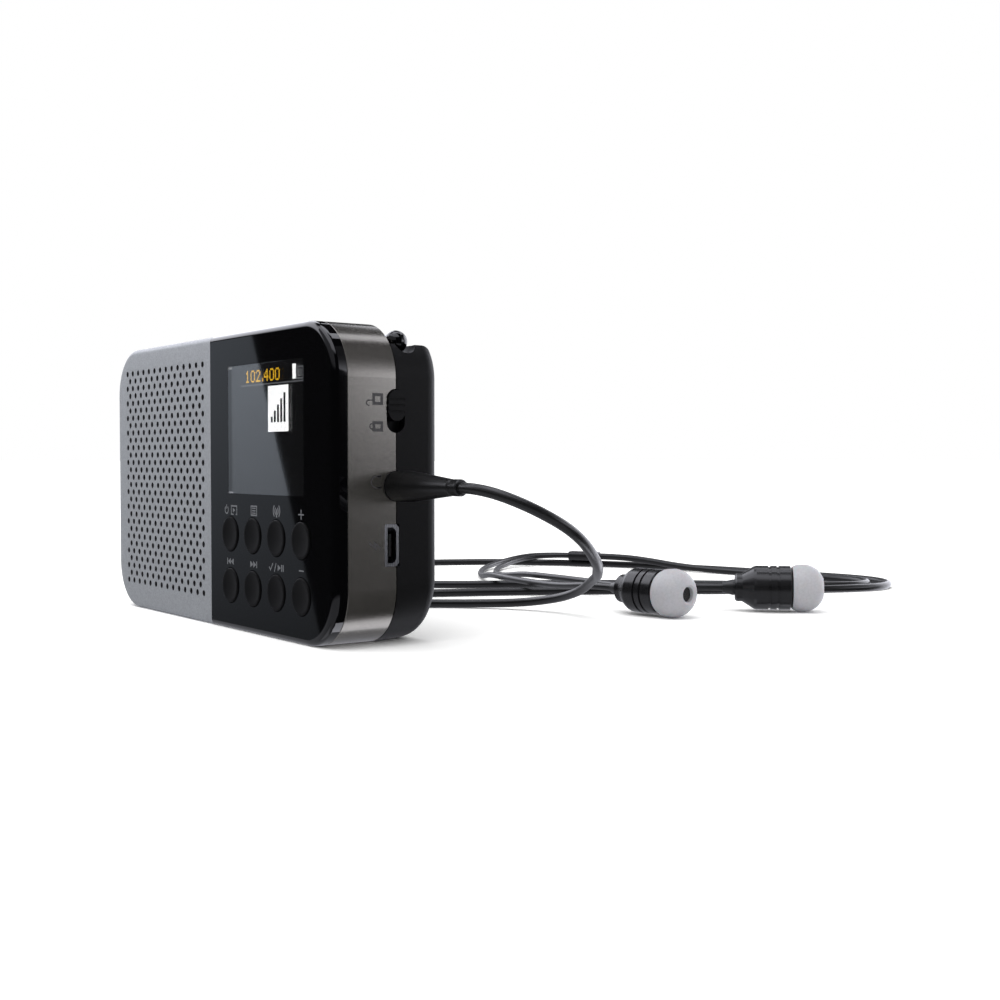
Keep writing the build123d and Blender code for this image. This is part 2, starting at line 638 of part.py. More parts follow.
def lock_slider():
    """Ridged knob in the slot, a wider plate behind the wall, and a stub into the slide switch."""
    z = lock_knob_z()
    plate_right = X_SIDE_INNER - RUN
    plate_left = plate_right - LOCK_PLATE_T
    knob_face = SlotOverall(LOCK_KNOB_L, LOCK_SLOT_W - 2 * RUN, rotation=90)
    knob = extrude(yz(plate_right - FIT, LOCK_Y, z) * knob_face, X_SIDE + LOCK_PROUD - plate_right + FIT)
    for step in (-1, 0, 1):
        low = z + LOCK_RIDGE_PITCH * step - LOCK_GROOVE_W / 2
        groove_x = (X_SIDE + LOCK_PROUD - LOCK_GROOVE_DEPTH, FAR)
        knob -= block(groove_x, (-FAR, FAR), (low, low + LOCK_GROOVE_W))
    plate_l = LOCK_SLOT_L + lock_travel()
    plate = extrude(yz(plate_left, LOCK_Y, z) * Rectangle(LOCK_SLOT_W + 1.0, plate_l), LOCK_PLATE_T)
    half = LOCK_STUB_W / 2
    stub_x = (plate_left - LOCK_STUB_L, plate_left + FIT)
    return knob + plate + block(stub_x, (LOCK_Y - half, LOCK_Y + half), (z - half, z + half))


def antenna():
    """Bracket, nut, pivot, knuckle, three tubes, rod and tip. Each stage lies inside the one before it."""
    ear_half = KNUCKLE_T / 2 + RUN + EAR_T
    base_z = CHANNEL_FLOOR_Z - BRACKET_SINK
    base_top = base_z + BRACKET_BASE_T
    ears_y = (ANTENNA_Y - ear_half, ANTENNA_Y + ear_half)
    bracket = block((PIVOT_X - EAR_R, PIVOT_X + EAR_R), ears_y, (base_z, ANTENNA_Z))
    bracket += rod_y(PIVOT_X, ANTENNA_Z, EAR_R, *ears_y)
    gap = KNUCKLE_T / 2 + RUN
    bracket -= block((-FAR, FAR), (ANTENNA_Y - gap, ANTENNA_Y + gap), (base_top, FAR))
    bracket -= rod_y(PIVOT_X, ANTENNA_Z, PIVOT_R + FIT, -FAR, FAR)
    stud_end = CEILING_Z - NUT_T - 0.4
    stud = Pos(PIVOT_X, ANTENNA_Y, (stud_end + base_z) / 2) * Cylinder(STUD_R, base_z - stud_end)
    bracket += stud
    nut_face = RegularPolygon(NUT_W / 2, 6, major_radius=False)
    nut = Pos(PIVOT_X, ANTENNA_Y, CEILING_Z - NUT_T) * extrude(nut_face, NUT_T)
    nut -= Pos(PIVOT_X, ANTENNA_Y, CEILING_Z) * Cylinder(STUD_R + FIT, 4 * NUT_T)
    pin = rod_y(PIVOT_X, ANTENNA_Z, PIVOT_R, *ears_y)

    neck_x = PIVOT_X + KNUCKLE_NECK
    collar_x = neck_x + KNUCKLE_COLLAR_L
    tongue_y = (ANTENNA_Y - KNUCKLE_T / 2, ANTENNA_Y + KNUCKLE_T / 2)
    knuckle = rod_y(PIVOT_X, ANTENNA_Z, KNUCKLE_R, *tongue_y)
    knuckle += block((PIVOT_X, neck_x + FIT), tongue_y, (ANTENNA_Z - KNUCKLE_R, ANTENNA_Z + KNUCKLE_R))
    knuckle += rod_x(ANTENNA_Y, ANTENNA_Z, TUBE_RADII[0], neck_x, collar_x)
    spigot_r = TUBE_RADII[0] - TUBE_WALL - FIT
    knuckle += rod_x(ANTENNA_Y, ANTENNA_Z, spigot_r, collar_x, collar_x + SPIGOT_L)
    knuckle -= rod_y(PIVOT_X, ANTENNA_Z, PIVOT_R + FIT, -FAR, FAR)

    # The tip is a ball, cut flat on the left where it is as thick as the widest tube.
    tip_left = TIP_X - sqrt(TIP_R**2 - TUBE_RADII[0] ** 2)
    stages = []
    for i, radius in enumerate(TUBE_RADII):
        root = collar_x if i == 0 else collar_x + SPIGOT_L + i * TUBE_ROOT_STEP
        mouth = tip_left - (len(TUBE_RADII) - i) * TUBE_MOUTH_STEP
        if i < len(TUBE_RADII) - 1:
            bore = rod_x(ANTENNA_Y, ANTENNA_Z, radius - TUBE_WALL, root - 1, mouth + 1)
            stages.append(rod_x(ANTENNA_Y, ANTENNA_Z, radius, root, mouth) - bore)
        else:
            stages.append(rod_x(ANTENNA_Y, ANTENNA_Z, radius, root, TIP_X))
    tip = Pos(TIP_X, ANTENNA_Y, ANTENNA_Z) * Sphere(TIP_R)
    tip -= block((-FAR, tip_left), (-FAR, FAR), (-FAR, FAR))
    tip -= rod_x(ANTENNA_Y, ANTENNA_Z, TUBE_RADII[-1] + FIT, -FAR, TIP_X + FIT)
    return bracket, nut, pin, knuckle, stages, tip


def plug():
    """Tapered moulding with a collar at the cord, and the three-contact pin."""
    x0 = X_SIDE + PLUG_GAP
    moulding = [
        (x0, 0),
        (x0, PLUG_R - 0.3),
        (x0 + 0.4, PLUG_R),
        (x0 + 5.0, PLUG_R),
        (x0 + 9.0, PLUG_R - 0.35),
        (x0 + PLUG_L - 3.0, PLUG_END_R),
        (x0 + PLUG_L - 2.8, PLUG_END_R - 0.25),
        (x0 + PLUG_L - 2.2, PLUG_END_R - 0.25),
        (x0 + PLUG_L - 2.0, PLUG_END_R),
        (x0 + PLUG_L - 0.2, PLUG_END_R),
        (x0 + PLUG_L, PLUG_END_R - 0.2),
        (x0 + PLUG_L, 0),
    ]
    groove = PIN_R - 0.2
    pin = [
        (x0, 0),
        (x0, PIN_R),
        (x0 - 7.6, PIN_R),
        (x0 - 7.6, groove),
        (x0 - 8.2, groove),
        (x0 - 8.2, PIN_R),
        (x0 - 10.4, PIN_R),
        (x0 - 10.4, groove),
        (x0 - 11.0, groove),
        (x0 - 11.0, PIN_R),
        (x0 - 12.0, PIN_R - 0.4),
        (x0 - 12.8, PIN_R),
        (x0 - PIN_L, 0.5),
        (x0 - PIN_L, 0),
    ]
    return turned_x(JACK_Y, JACK_Z, moulding), turned_x(JACK_Y, JACK_Z, pin)


def placed(place, turn):
    """Frame on the table at a place, with local x turned about Z from X."""
    return Plane(origin=place, x_dir=(cos(radians(turn)), sin(radians(turn)), 0), z_dir=(0, 0, 1)).location


def earbud(place, turn):
    """Flared shell with two ring grooves and a nozzle, soft ear tip with its sound hole, and cord relief."""
    flare = BUD_CAP_L + BUD_FLARE_L
    groove = BUD_R - 0.3
    shell_profile = [
        (0, 0),
        (0, BUD_CAP_R - 0.4),
        (0.4, BUD_CAP_R),
        (BUD_CAP_L, BUD_CAP_R),
        (flare, BUD_R - 0.2),
        (flare + 0.6, BUD_R),
        (7.9, BUD_R),
        (7.9, groove),
        (8.5, groove),
        (8.5, BUD_R),
        (9.9, BUD_R),
        (9.9, groove),
        (10.5, groove),
        (10.5, BUD_R),
        (BUD_L - 0.5, BUD_R),
        (BUD_L, BUD_R - 0.5),
        (BUD_L, BUD_NOZZLE_R),
        (BUD_L + BUD_NOZZLE_L, BUD_NOZZLE_R),
        (BUD_L + BUD_NOZZLE_L, 0),
    ]
    shell = turned_x(0, 0, shell_profile)
    start = BUD_L + FIT
    end = BUD_L + EAR_TIP_L
    bore_end = BUD_L + BUD_NOZZLE_L + FIT
    dome_start = start + 0.30 * EAR_TIP_L
    hole_edge = EAR_TIP_HOLE_R + 0.5
    brim = (start + 0.9, EAR_TIP_R - 0.1)
    dome = [(dome_start, EAR_TIP_R), (end - 0.9, EAR_TIP_R - 1.7), (end, hole_edge)]
    outline = [
        Polyline((bore_end, EAR_TIP_HOLE_R), (bore_end, BUD_NOZZLE_R + FIT), (start, BUD_NOZZLE_R + FIT)),
        Polyline((start, BUD_NOZZLE_R + FIT), (start, EAR_TIP_R - 0.5), brim, dome[0]),
        ThreePointArc(*dome),
        Polyline(dome[-1], (end - 0.25, EAR_TIP_HOLE_R), (bore_end, EAR_TIP_HOLE_R)),
    ]
    tip = revolve(make_face(outline), Axis.X)
    relief_profile = [(-RELIEF_L, 0), (-RELIEF_L, RELIEF_R - 0.6), (-0.6, RELIEF_R), (0, RELIEF_R), (0, 0)]
    relief = turned_x(0, 0, relief_profile)
    location = placed(place, turn)
    return location * shell, location * tip, location * relief


def splitter():
    """Flat rounded moulding where the cord divides."""
    body = Pos(SPLITTER_L / 2, 0, 0) * Box(SPLITTER_L, SPLITTER_W, SPLITTER_T)
    body = fillet(body.edges().filter_by(Axis.X), SPLITTER_T / 2 - 0.2)
    return placed(SPLITTER_START, SPLITTER_TURN) * body


def along(place, turn, forward, aside=0):
    """Point beside a place, measured along its turned x and y."""
    c = cos(radians(turn))
    s = sin(radians(turn))
    return (place[0] + forward * c - aside * s, place[1] + forward * s + aside * c, place[2])


def cord(name, points, diameter):
    """Tube along straight runs that tangent arcs join, each arc as large as its two runs allow."""
    corners = [Vector(*point) for point in points]
    radii = []
    for a, b, c in zip(corners, corners[1:], corners[2:]):
        turn = (b - a).get_angle(c - b)
        shorter = min((b - a).length, (c - b).length)
        radii.append(ARC_SHARE * shorter / tan(radians(turn) / 2))
    path = FilletPolyline(*corners, radius=radii)
    start = Plane(origin=corners[0], z_dir=corners[1] - corners[0])
    tube = sweep(start * Circle(diameter / 2), path=path)
    area = Circle(diameter / 2).area
    print(name, "length", round(path.length, 1), "volume ratio", round(tube.volume / (area * path.length), 4))
    print("  radii", [round(radius, 1) for radius in radii])
    print("  least gap to itself", round(self_gap(path, diameter), 2))
    return tube


def self_gap(path, diameter):
    """Least distance between the skins of stretches that lie well apart along the cord."""
    count = int(path.length / GAP_STEP)
    points = [path @ (i / count) for i in range(count + 1)]
    apart = int(4 * diameter / GAP_STEP) + 1
    gaps = [(p - q).length for i, p in enumerate(points) for q in points[i + apart :]]
    return min(gaps) - diameter


FLOOR = CORD_D / 2
PLUG_END = (X_SIDE + PLUG_GAP + PLUG_L, JACK_Y, JACK_Z)
SPLITTER_END = along(SPLITTER_START, SPLITTER_TURN, SPLITTER_L)

# Out of the plug, round to the table, and back behind the case.
MAIN_ROUTE = [PLUG_END, (83.8, 2.1, 31.6), (90.5, 8.0, 28.4), (92.5, 17.2, 23.4), (87.7, 26.2, 17.3)]
MAIN_ROUTE += [(77.9, 34.4, 14.2), (64.7, 45.8, 12.4), (51.0, 56.9, 10.4), (36.4, 63.9, 5.1)]
MAIN_ROUTE += [(20.0, 62.9, 1.8)]
MAIN_ROUTE += [(6.7, 53.4, FLOOR), (-4.2, 40.0, FLOOR), (-14.2, 28.5, FLOOR), (-27.2, 23.5, FLOOR)]
MAIN_ROUTE += [(-37.2, 28.5, FLOOR), (-39.2, 39.5, FLOOR), (-32.7, 49.5, FLOOR), (-21.8, 57.6, FLOOR)]
# First loop, near side out and far side back.
MAIN_ROUTE += [(-15.2, 72.9, FLOOR), (-6.9, 88.7, FLOOR), (3.8, 106.4, FLOOR), (16.8, 124.2, FLOOR)]
MAIN_ROUTE += [(27.9, 141.8, FLOOR), (36.7, 158.4, FLOOR), (40.4, 172.8, FLOOR), (33.3, 184.8, FLOOR)]
MAIN_ROUTE += [(19.6, 189.5, FLOOR), (-1.3, 185.8, FLOOR), (-27.8, 180.1, FLOOR), (-55.1, 172.4, FLOOR)]
MAIN_ROUTE += [(-79.1, 159.4, FLOOR), (-99.0, 141.8, FLOOR), (-109.9, 121.7, FLOOR), (-118.5, 96.5, FLOOR)]
MAIN_ROUTE += [(-120.4, 70.5, FLOOR), (-109.5, 50.0, FLOOR), (-89.0, 42.3, FLOOR), (-64.7, 51.6, FLOOR)]
# Second loop inside the first, and up onto it at the splitter.
MAIN_ROUTE += [(-37.6, 77.8, FLOOR), (-26.6, 98.9, FLOOR), (-13.8, 118.2, FLOOR), (0.9, 135.9, FLOOR)]
MAIN_ROUTE += [(16.5, 150.6, FLOOR), (27.9, 163.9, FLOOR), (32.6, 173.4, FLOOR), (28.0, 182.0, FLOOR)]
MAIN_ROUTE += [(18.0, 184.0, FLOOR), (0.0, 179.7, FLOOR), (-24.0, 176.1, FLOOR), (-40.2, 172.8, 1.5)]
MAIN_ROUTE += [(-52.2, 169.6, 2.9), along(SPLITTER_START, SPLITTER_TURN, -9.0), SPLITTER_START]

# From the splitter, across the far strand, round on the table, and over the near strands to each bud.
LEFT_ROUTE = [along(SPLITTER_END, SPLITTER_TURN, 0, -SPLITTER_PITCH / 2)]
LEFT_ROUTE += [along(LEFT_ROUTE[0], SPLITTER_TURN, 7.0), (-91.2, 147.0, 3.4), (-89.7, 134.0, 1.6)]
LEFT_ROUTE += [(-80.2, 121.0, 0.95), (-66.2, 109.5, 0.85), (-50.7, 99.5, 1.5), (-36.2, 91.5, 3.5)]
LEFT_ROUTE += [(-20.2, 86.0, 3.8), (-3.9, 83.1, 3.8), (10.9, 80.2, 4.3)]
LEFT_ROUTE += [along(LEFT_BUD, LEFT_BUD_TURN, -RELIEF_L - 9.0), along(LEFT_BUD, LEFT_BUD_TURN, -RELIEF_L)]
RIGHT_ROUTE = [along(SPLITTER_END, SPLITTER_TURN, 0, SPLITTER_PITCH / 2)]
RIGHT_ROUTE += [along(RIGHT_ROUTE[0], SPLITTER_TURN, 6.0), (-87.7, 144.6, 3.0), (-84.7, 133.2, 1.4)]
RIGHT_ROUTE += [(-75.2, 122.5, 0.9), (-61.7, 112.5, 0.85), (-46.7, 104.5, 1.7), (-31.2, 99.8, 3.6)]
RIGHT_ROUTE += [(-14.7, 98.2, 3.8), (1.8, 97.6, 3.8), (17.8, 94.6, 3.9), (31.7, 92.4, 4.8)]
RIGHT_ROUTE += [along(RIGHT_BUD, RIGHT_BUD_TURN, -RELIEF_L - 8.0)]
RIGHT_ROUTE += [along(RIGHT_BUD, RIGHT_BUD_TURN, -RELIEF_L)]

BUTTON_NAMES = ["power", "menu", "preset", "volume_up", "previous", "next", "select", "volume_down"]

grille, fascia = front_panels()
gasket, basket, magnet, cone = speaker()
lens, module = display()
usb_shell, usb_tongue = usb_socket()
bracket, nut, pin, knuckle, stages, tip = antenna()
plug_body, plug_pin = plug()
left_shell, left_tip, left_relief = earbud(LEFT_BUD, LEFT_BUD_TURN)
right_shell, right_tip, right_relief = earbud(RIGHT_BUD, RIGHT_BUD_TURN)

nodes = {
    "front_housing": front_housing(),
    "speaker_grille": grille,
    "fascia": fascia,
    "rear_cover": rear_cover(),
    "case_screws": case_screws(),
    "grille_cloth": grille_cloth(),
    "speaker_gasket": gasket,
    "speaker_frame": basket,
    "speaker_magnet": magnet,
    "speaker_cone": cone,
    "display_lens": lens,
    "display_module": module,
    "main_board": main_board(),
    "board_screws": board_screws(),
    "key_switches": key_switches(),
    "radio_shield": radio_shield(),
    "battery": battery(),
    "headphone_jack": headphone_jack(),
    "usb_socket": usb_shell,
    "usb_tongue": usb_tongue,
    "lock_switch": lock_switch(),
    "lock_slider": lock_slider(),
    "antenna_bracket": bracket,
    "antenna_nut": nut,
    "antenna_pivot": pin,
    "antenna_knuckle": knuckle,
    "antenna_tube_1": stages[0],
    "antenna_tube_2": stages[1],
    "antenna_tube_3": stages[2],
    "antenna_rod": stages[3],
    "antenna_tip": tip,
    "plug_body": plug_body,
    "plug_pin": plug_pin,
    "main_cord": cord("main_cord", MAIN_ROUTE, CORD_D),
    "cord_splitter": splitter(),
    "left_cord": cord("left_cord", LEFT_ROUTE, BUD_CORD_D),
    "right_cord": cord("right_cord", RIGHT_ROUTE, BUD_CORD_D),
    "left_earbud_shell": left_shell,
    "left_ear_tip": left_tip,
    "left_cord_relief": left_relief,
    "right_earbud_shell": right_shell,
    "right_ear_tip": right_tip,
    "right_cord_relief": right_relief,
}
for name, (x, z) in zip(BUTTON_NAMES, button_places()):
    nodes[name + "_button"] = button(x, z)

os.makedirs("parts", exist_ok=True)
for name, solid in nodes.items():
    export_step(solid, f"parts/{name}.step")
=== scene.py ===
"""Pocket radio with earphones: finishes, fine pieces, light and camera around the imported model.

Places and sizes are in millimetres, as on the part's own drawing, and become metres as a mesh is made.
"""

from math import cos, hypot, pi, radians, sin

import bmesh
import bpy
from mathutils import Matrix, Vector


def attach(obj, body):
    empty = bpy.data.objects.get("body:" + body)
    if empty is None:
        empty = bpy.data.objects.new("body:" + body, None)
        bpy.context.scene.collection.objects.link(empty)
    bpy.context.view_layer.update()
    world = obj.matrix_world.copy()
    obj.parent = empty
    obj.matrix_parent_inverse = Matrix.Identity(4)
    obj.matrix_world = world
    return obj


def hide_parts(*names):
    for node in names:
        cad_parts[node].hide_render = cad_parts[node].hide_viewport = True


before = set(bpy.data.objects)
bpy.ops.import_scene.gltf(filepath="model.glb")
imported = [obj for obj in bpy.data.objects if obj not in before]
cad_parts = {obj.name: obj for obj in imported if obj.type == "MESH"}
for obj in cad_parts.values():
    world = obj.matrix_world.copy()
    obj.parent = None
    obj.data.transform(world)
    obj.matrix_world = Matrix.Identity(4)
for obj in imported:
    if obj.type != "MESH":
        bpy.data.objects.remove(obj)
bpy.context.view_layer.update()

MM = 0.001

# Case, as the part has it.
CASE_W = 110.6
CASE_H = 64.0
CORNER_R = 11.3
Y_FRONT = -12.0
Y_PANEL = -9.0
PANEL_WALL = 1.6
FRONT_EDGE_R = 1.3
SEAM_X = 0.3
SEAM_RIB = 1.2
X_SIDE = 55.3
CORNER_STEPS = 12
EDGE_STEPS = 8
ROUND_SIDES = 24
SHARP_ANGLE = 35

# Grille.
HOLE_R = 0.6
HOLE_MOUTH = 0.25  # depth of the eased mouth of a hole
HOLE_FLARE = 0.7
HOLE_SIDES = 16
CUTTER_L = 2.2 * PANEL_WALL
HOLE_COLUMNS = 14
HOLE_ROWS = 29
HOLE_PITCH_X = 3.453
HOLE_PITCH_Z = 1.837
FIELD = (-26.2, 32.4)
PEG_R = 1.0
PEG_PLACES = [(-26.2, 3.1), (-26.2, 60.9), (-51.9, 20.0), (-51.9, 44.0)]
PEG_BACK_Y = -7.45
PEG_SINK = 0.05  # into the panel

# Buttons, and the signs above them.
BUTTON_COLUMNS = [10.295, 20.965, 31.635, 42.305]
BUTTON_ROWS = [20.745, 9.595]
SIGN_RISE = 5.15
SIGN_LINE = 0.3
WAVE_LINE = 0.34
SIDE_LINE = 0.24
PADLOCK_LINE = 0.6
FLASH_LINE = 0.42
WEDGE_TIP = 0.02
INK_T = 0.02
INK_SINK = 0.004  # into the surface it is printed on

# Display picture, on the display glass behind the lens.
PICTURE_Y = -10.87
PICTURE_T = 0.012
PIXEL = 0.41  # across
PIXEL_RISE = 0.36
PIXEL_FILL = 0.94
FIGURES_LEFT = 17.2
FIGURES_TOP = 55.5
TILE = (27.4, 42.5, 36.3, 51.9)  # left, foot, right, top
BLOCK = (38.1, 52.9, 39.5, 55.9)
RULE = (15.0, 52.25, 42.6, 52.55)
CHARGE_LINE = 0.35
LEVEL_COUNT = 5
LEVEL_START = (28.6, 44.4)
LEVEL_W = 0.9
LEVEL_PITCH = 1.4
LEVEL_RISE = 1.2  # of each level bar over the one before
LEVEL_GAP = 0.002  # between the tile and the bars on it

# Contacts on the tongue of the charging socket, and insulating rings on the plug's pin.
CONTACT_COUNT = 5
CONTACT_MIDDLE = (51.9, 0.87, 20.0)
CONTACT_PITCH = 0.65
CONTACT_SIZE = (3.6, 0.08, 0.36)
PIN_RINGS_X = (47.55, 44.75)
PIN_RING_HALF = 0.32

# Earphones.
CORD_D = 2.1
BUD_CORD_D = 1.7
FLOOR = CORD_D / 2
PLUG_END = (77.45, 2.1, 31.6)
SPLITTER_START = (-70.2, 162.2, 3.7)
SPLITTER_TURN = 207.3
SPLITTER_L = 10.0
SPLITTER_PITCH = 2.2
LEFT_BUD = (36.3, 78.1, 5.75)
LEFT_BUD_TURN = 5.0
RIGHT_BUD = (50.8, 101.8, 5.75)
RIGHT_BUD_TURN = 46.0
RELIEF_L = 3.0
MESH_R = 1.78
MESH_T = 0.3
MESH_PLACE = 19.6  # from the shell's cord end

# Sockets of a Mix node that only their number tells apart: its colours and its mixed colour.
MIX_A = 6
MIX_B = 7
MIX_RESULT = 2

# Camera, where the photograph was taken from.
CAMERA_PLACE = (278.63, -138.56, 36.75)
CAMERA_YAW = 53.404
CAMERA_DIP = 1.716
CAMERA_LENS = 48.38


def tone(code):
    """Linear colour of an sRGB hex value."""
    parts = [int(code[i : i + 2], 16) / 255 for i in (1, 3, 5)]
    linear = [v / 12.92 if v <= 0.04045 else ((v + 0.055) / 1.055) ** 2.4 for v in parts]
    return (*linear, 1.0)


def per(size):
    """Texture scale at which one cell of a pattern is this many millimetres across."""
    return 1 / (size * MM)


def node(tree, kind, inputs=None, **settings):
    """Add a node. Each input takes a value, or a socket to link from."""
    added = tree.nodes.new(kind)
    for key, value in settings.items():
        setattr(added, key, value)
    for key, value in (inputs or {}).items():
        if isinstance(value, bpy.types.NodeSocket):
            tree.links.new(value, added.inputs[key])
        else:
            added.inputs[key].default_value = value
    return added


def finish(name, **sockets):
    """Material whose Principled shader takes the given values, with its tree, shader and object coordinates."""
    material = bpy.data.materials.new(name)
    material.use_nodes = True
    tree = material.node_tree
    shader = tree.nodes["Principled BSDF"]
    for key, value in sockets.items():
        shader.inputs[key.replace("_", " ")].default_value = value
    place = node(tree, "ShaderNodeTexCoord").outputs["Object"]
    return material, tree, shader, place


def wire(tree, shader, **sources):
    """Link a socket to each named input of a finish's shader."""
    for key, source in sources.items():
        tree.links.new(source, shader.inputs[key.replace("_", " ")])


# Finishes.

# Silver lacquer on moulded ABS: an even satin grey that carries a fine sparkle of aluminium flake.
silver_lacquer, tree, shader, place = finish("silver_lacquer_on_abs", Metallic=0.25)
flake = node(tree, "ShaderNodeTexVoronoi", {"Vector": place, "Scale": per(0.3)})
colours = {"Factor": flake.outputs["Color"], MIX_A: tone("#8b8e93"), MIX_B: tone("#a2a5aa")}
blend = node(tree, "ShaderNodeMix", colours, data_type="RGBA")
cloud = node(tree, "ShaderNodeTexNoise", {"Vector": place, "Scale": per(9.0), "Detail": 3.0})
satin = node(tree, "ShaderNodeMapRange", {"Value": cloud.outputs["Fac"], "To Min": 0.42, "To Max": 0.54})
peel = node(tree, "ShaderNodeTexNoise", {"Vector": place, "Scale": per(0.8), "Detail": 1.0})
bump = node(tree, "ShaderNodeBump", {"Height": peel.outputs["Fac"], "Strength": 0.5, "Distance": 0.008 * MM})
wire(tree, shader, Base_Color=blend.outputs[MIX_RESULT], Roughness=satin.outputs[0], Normal=bump.outputs[0])

# Dull black ABS on the walls of the grille's holes, darker than the lacquer on the face, so that the holes read dark.
hole_wall_abs, tree, shader, place = finish("hole_wall_black_abs", IOR=1.5)
streak = node(tree, "ShaderNodeTexNoise", {"Vector": place, "Scale": per(0.4), "Detail": 2.0})
colours = {"Factor": streak.outputs["Fac"], MIX_A: tone("#111112"), MIX_B: tone("#1d1d1f")}
blend = node(tree, "ShaderNodeMix", colours, data_type="RGBA")
dull = node(tree, "ShaderNodeMapRange", {"Value": streak.outputs["Fac"], "To Min": 0.5, "To Max": 0.65})
wire(tree, shader, Base_Color=blend.outputs[MIX_RESULT], Roughness=dull.outputs[0])

# Gunmetal lacquer on the band: warm grey, darker than the grille, with a fine speckle and clear highlights.
# Real flake is about 0.1 mm and is drawn at 0.2 mm, because finer flake would not show.
gunmetal_lacquer, tree, shader, place = finish("gunmetal_flake_lacquer", Metallic=0.82)
flake = node(tree, "ShaderNodeTexVoronoi", {"Vector": place, "Scale": per(0.2)})
colours = {"Factor": flake.outputs["Color"], MIX_A: tone("#6b6965"), MIX_B: tone("#7f7c77")}
blend = node(tree, "ShaderNodeMix", colours, data_type="RGBA")
satin = node(tree, "ShaderNodeMapRange", {"Value": flake.outputs["Color"], "To Min": 0.17, "To Max": 0.25})
bump = node(tree, "ShaderNodeBump", {"Height": flake.outputs["Distance"], "Strength": 0.07, "Distance": 0.01 * MM})
wire(tree, shader, Base_Color=blend.outputs[MIX_RESULT], Roughness=satin.outputs[0], Normal=bump.outputs[0])

# Piano-black ABS of the fascia and the antenna's tip: a deep black mirror with a breath of handling haze.
piano_black, tree, shader, place = finish("piano_black_abs", Base_Color=tone("#030304"), IOR=1.5)
haze = node(tree, "ShaderNodeTexNoise", {"Vector": place, "Scale": per(14.0), "Detail": 4.0})
polish = node(tree, "ShaderNodeMapRange", {"Value": haze.outputs["Fac"], "To Min": 0.015, "To Max": 0.05})
wire(tree, shader, Roughness=polish.outputs[0])

# Clear cast acrylic: colourless and polished, with a hard coat that mirrors more than the fascia around it.
clear_acrylic, tree, shader, place = finish(
    "hard_coated_acrylic", Transmission_Weight=1.0, IOR=1.49, Coat_Weight=1.0, Coat_IOR=1.75
)
haze = node(tree, "ShaderNodeTexNoise", {"Vector": place, "Scale": per(10.0), "Detail": 3.0})
polish = node(tree, "ShaderNodeMapRange", {"Value": haze.outputs["Fac"], "To Min": 0.0, "To Max": 0.02})
wire(tree, shader, Roughness=polish.outputs[0])

# Display glass: a dark mirror over a black matrix, whose cells are drawn at 0.4 mm to show at all.
display_glass, tree, shader, place = finish("display_glass", Roughness=0.03, IOR=1.52, Specular_IOR_Level=1.0)
turned = node(tree, "ShaderNodeMapping", {"Vector": place, "Rotation": (pi / 2, 0, 0)})
cells = node(
    tree,
    "ShaderNodeTexBrick",
    {
        "Vector": turned.outputs[0],
        "Color1": tone("#08090a"),
        "Color2": tone("#090a0b"),
        "Mortar": tone("#040405"),
        "Scale": per(1.0),
        "Mortar Size": 0.05,
        "Brick Width": 0.4,
        "Row Height": 0.4,
    },
    offset=0.0,
)
wire(tree, shader, Base_Color=cells.outputs["Color"])

# Button caps of ABS with a satin, finely etched face.
satin_abs, tree, shader, place = finish("satin_black_abs", IOR=1.5, Specular_IOR_Level=0.13)
etch = node(tree, "ShaderNodeTexNoise", {"Vector": place, "Scale": per(0.2), "Detail": 2.0})
colours = {"Factor": etch.outputs["Fac"], MIX_A: tone("#080809"), MIX_B: tone("#0e0e0f")}
blend = node(tree, "ShaderNodeMix", colours, data_type="RGBA")
satin = node(tree, "ShaderNodeMapRange", {"Value": etch.outputs["Fac"], "To Min": 0.48, "To Max": 0.6})
bump = node(tree, "ShaderNodeBump", {"Height": etch.outputs["Fac"], "Strength": 0.4, "Distance": 0.01 * MM})
wire(tree, shader, Base_Color=blend.outputs[MIX_RESULT], Roughness=satin.outputs[0], Normal=bump.outputs[0])

# Rear cover and lock knob of ABS from a spark-eroded mould: matte black with a tight pebble.
# The pebble is about 0.1 mm and is drawn at 0.3 mm, because finer grain would not show.
spark_abs, tree, shader, place = finish("spark_textured_abs", IOR=1.5, Specular_IOR_Level=0.16)
pebble = node(tree, "ShaderNodeTexNoise", {"Vector": place, "Scale": per(0.3), "Detail": 3.0, "Roughness": 0.6})
colours = {"Factor": pebble.outputs["Fac"], MIX_A: tone("#070708"), MIX_B: tone("#0d0d0e")}
blend = node(tree, "ShaderNodeMix", colours, data_type="RGBA")
matte = node(tree, "ShaderNodeMapRange", {"Value": pebble.outputs["Fac"], "To Min": 0.42, "To Max": 0.58})
bump = node(tree, "ShaderNodeBump", {"Height": pebble.outputs["Fac"], "Strength": 0.6, "Distance": 0.03 * MM})
wire(tree, shader, Base_Color=blend.outputs[MIX_RESULT], Roughness=matte.outputs[0], Normal=bump.outputs[0])

# Chrome plate on drawn brass tube: a bright mirror with faint draw lines along the tube.
chrome_plate, tree, shader, place = finish("chrome_plated_tube", Metallic=1.0, Base_Color=tone("#d3d4d8"))
drawn = node(tree, "ShaderNodeMapping", {"Vector": place, "Scale": (0.02, 1.0, 1.0)})
lines = node(tree, "ShaderNodeTexNoise", {"Vector": drawn.outputs[0], "Scale": per(0.25), "Detail": 2.0})
polish = node(tree, "ShaderNodeMapRange", {"Value": lines.outputs["Fac"], "To Min": 0.06, "To Max": 0.2})
wire(tree, shader, Roughness=polish.outputs[0])

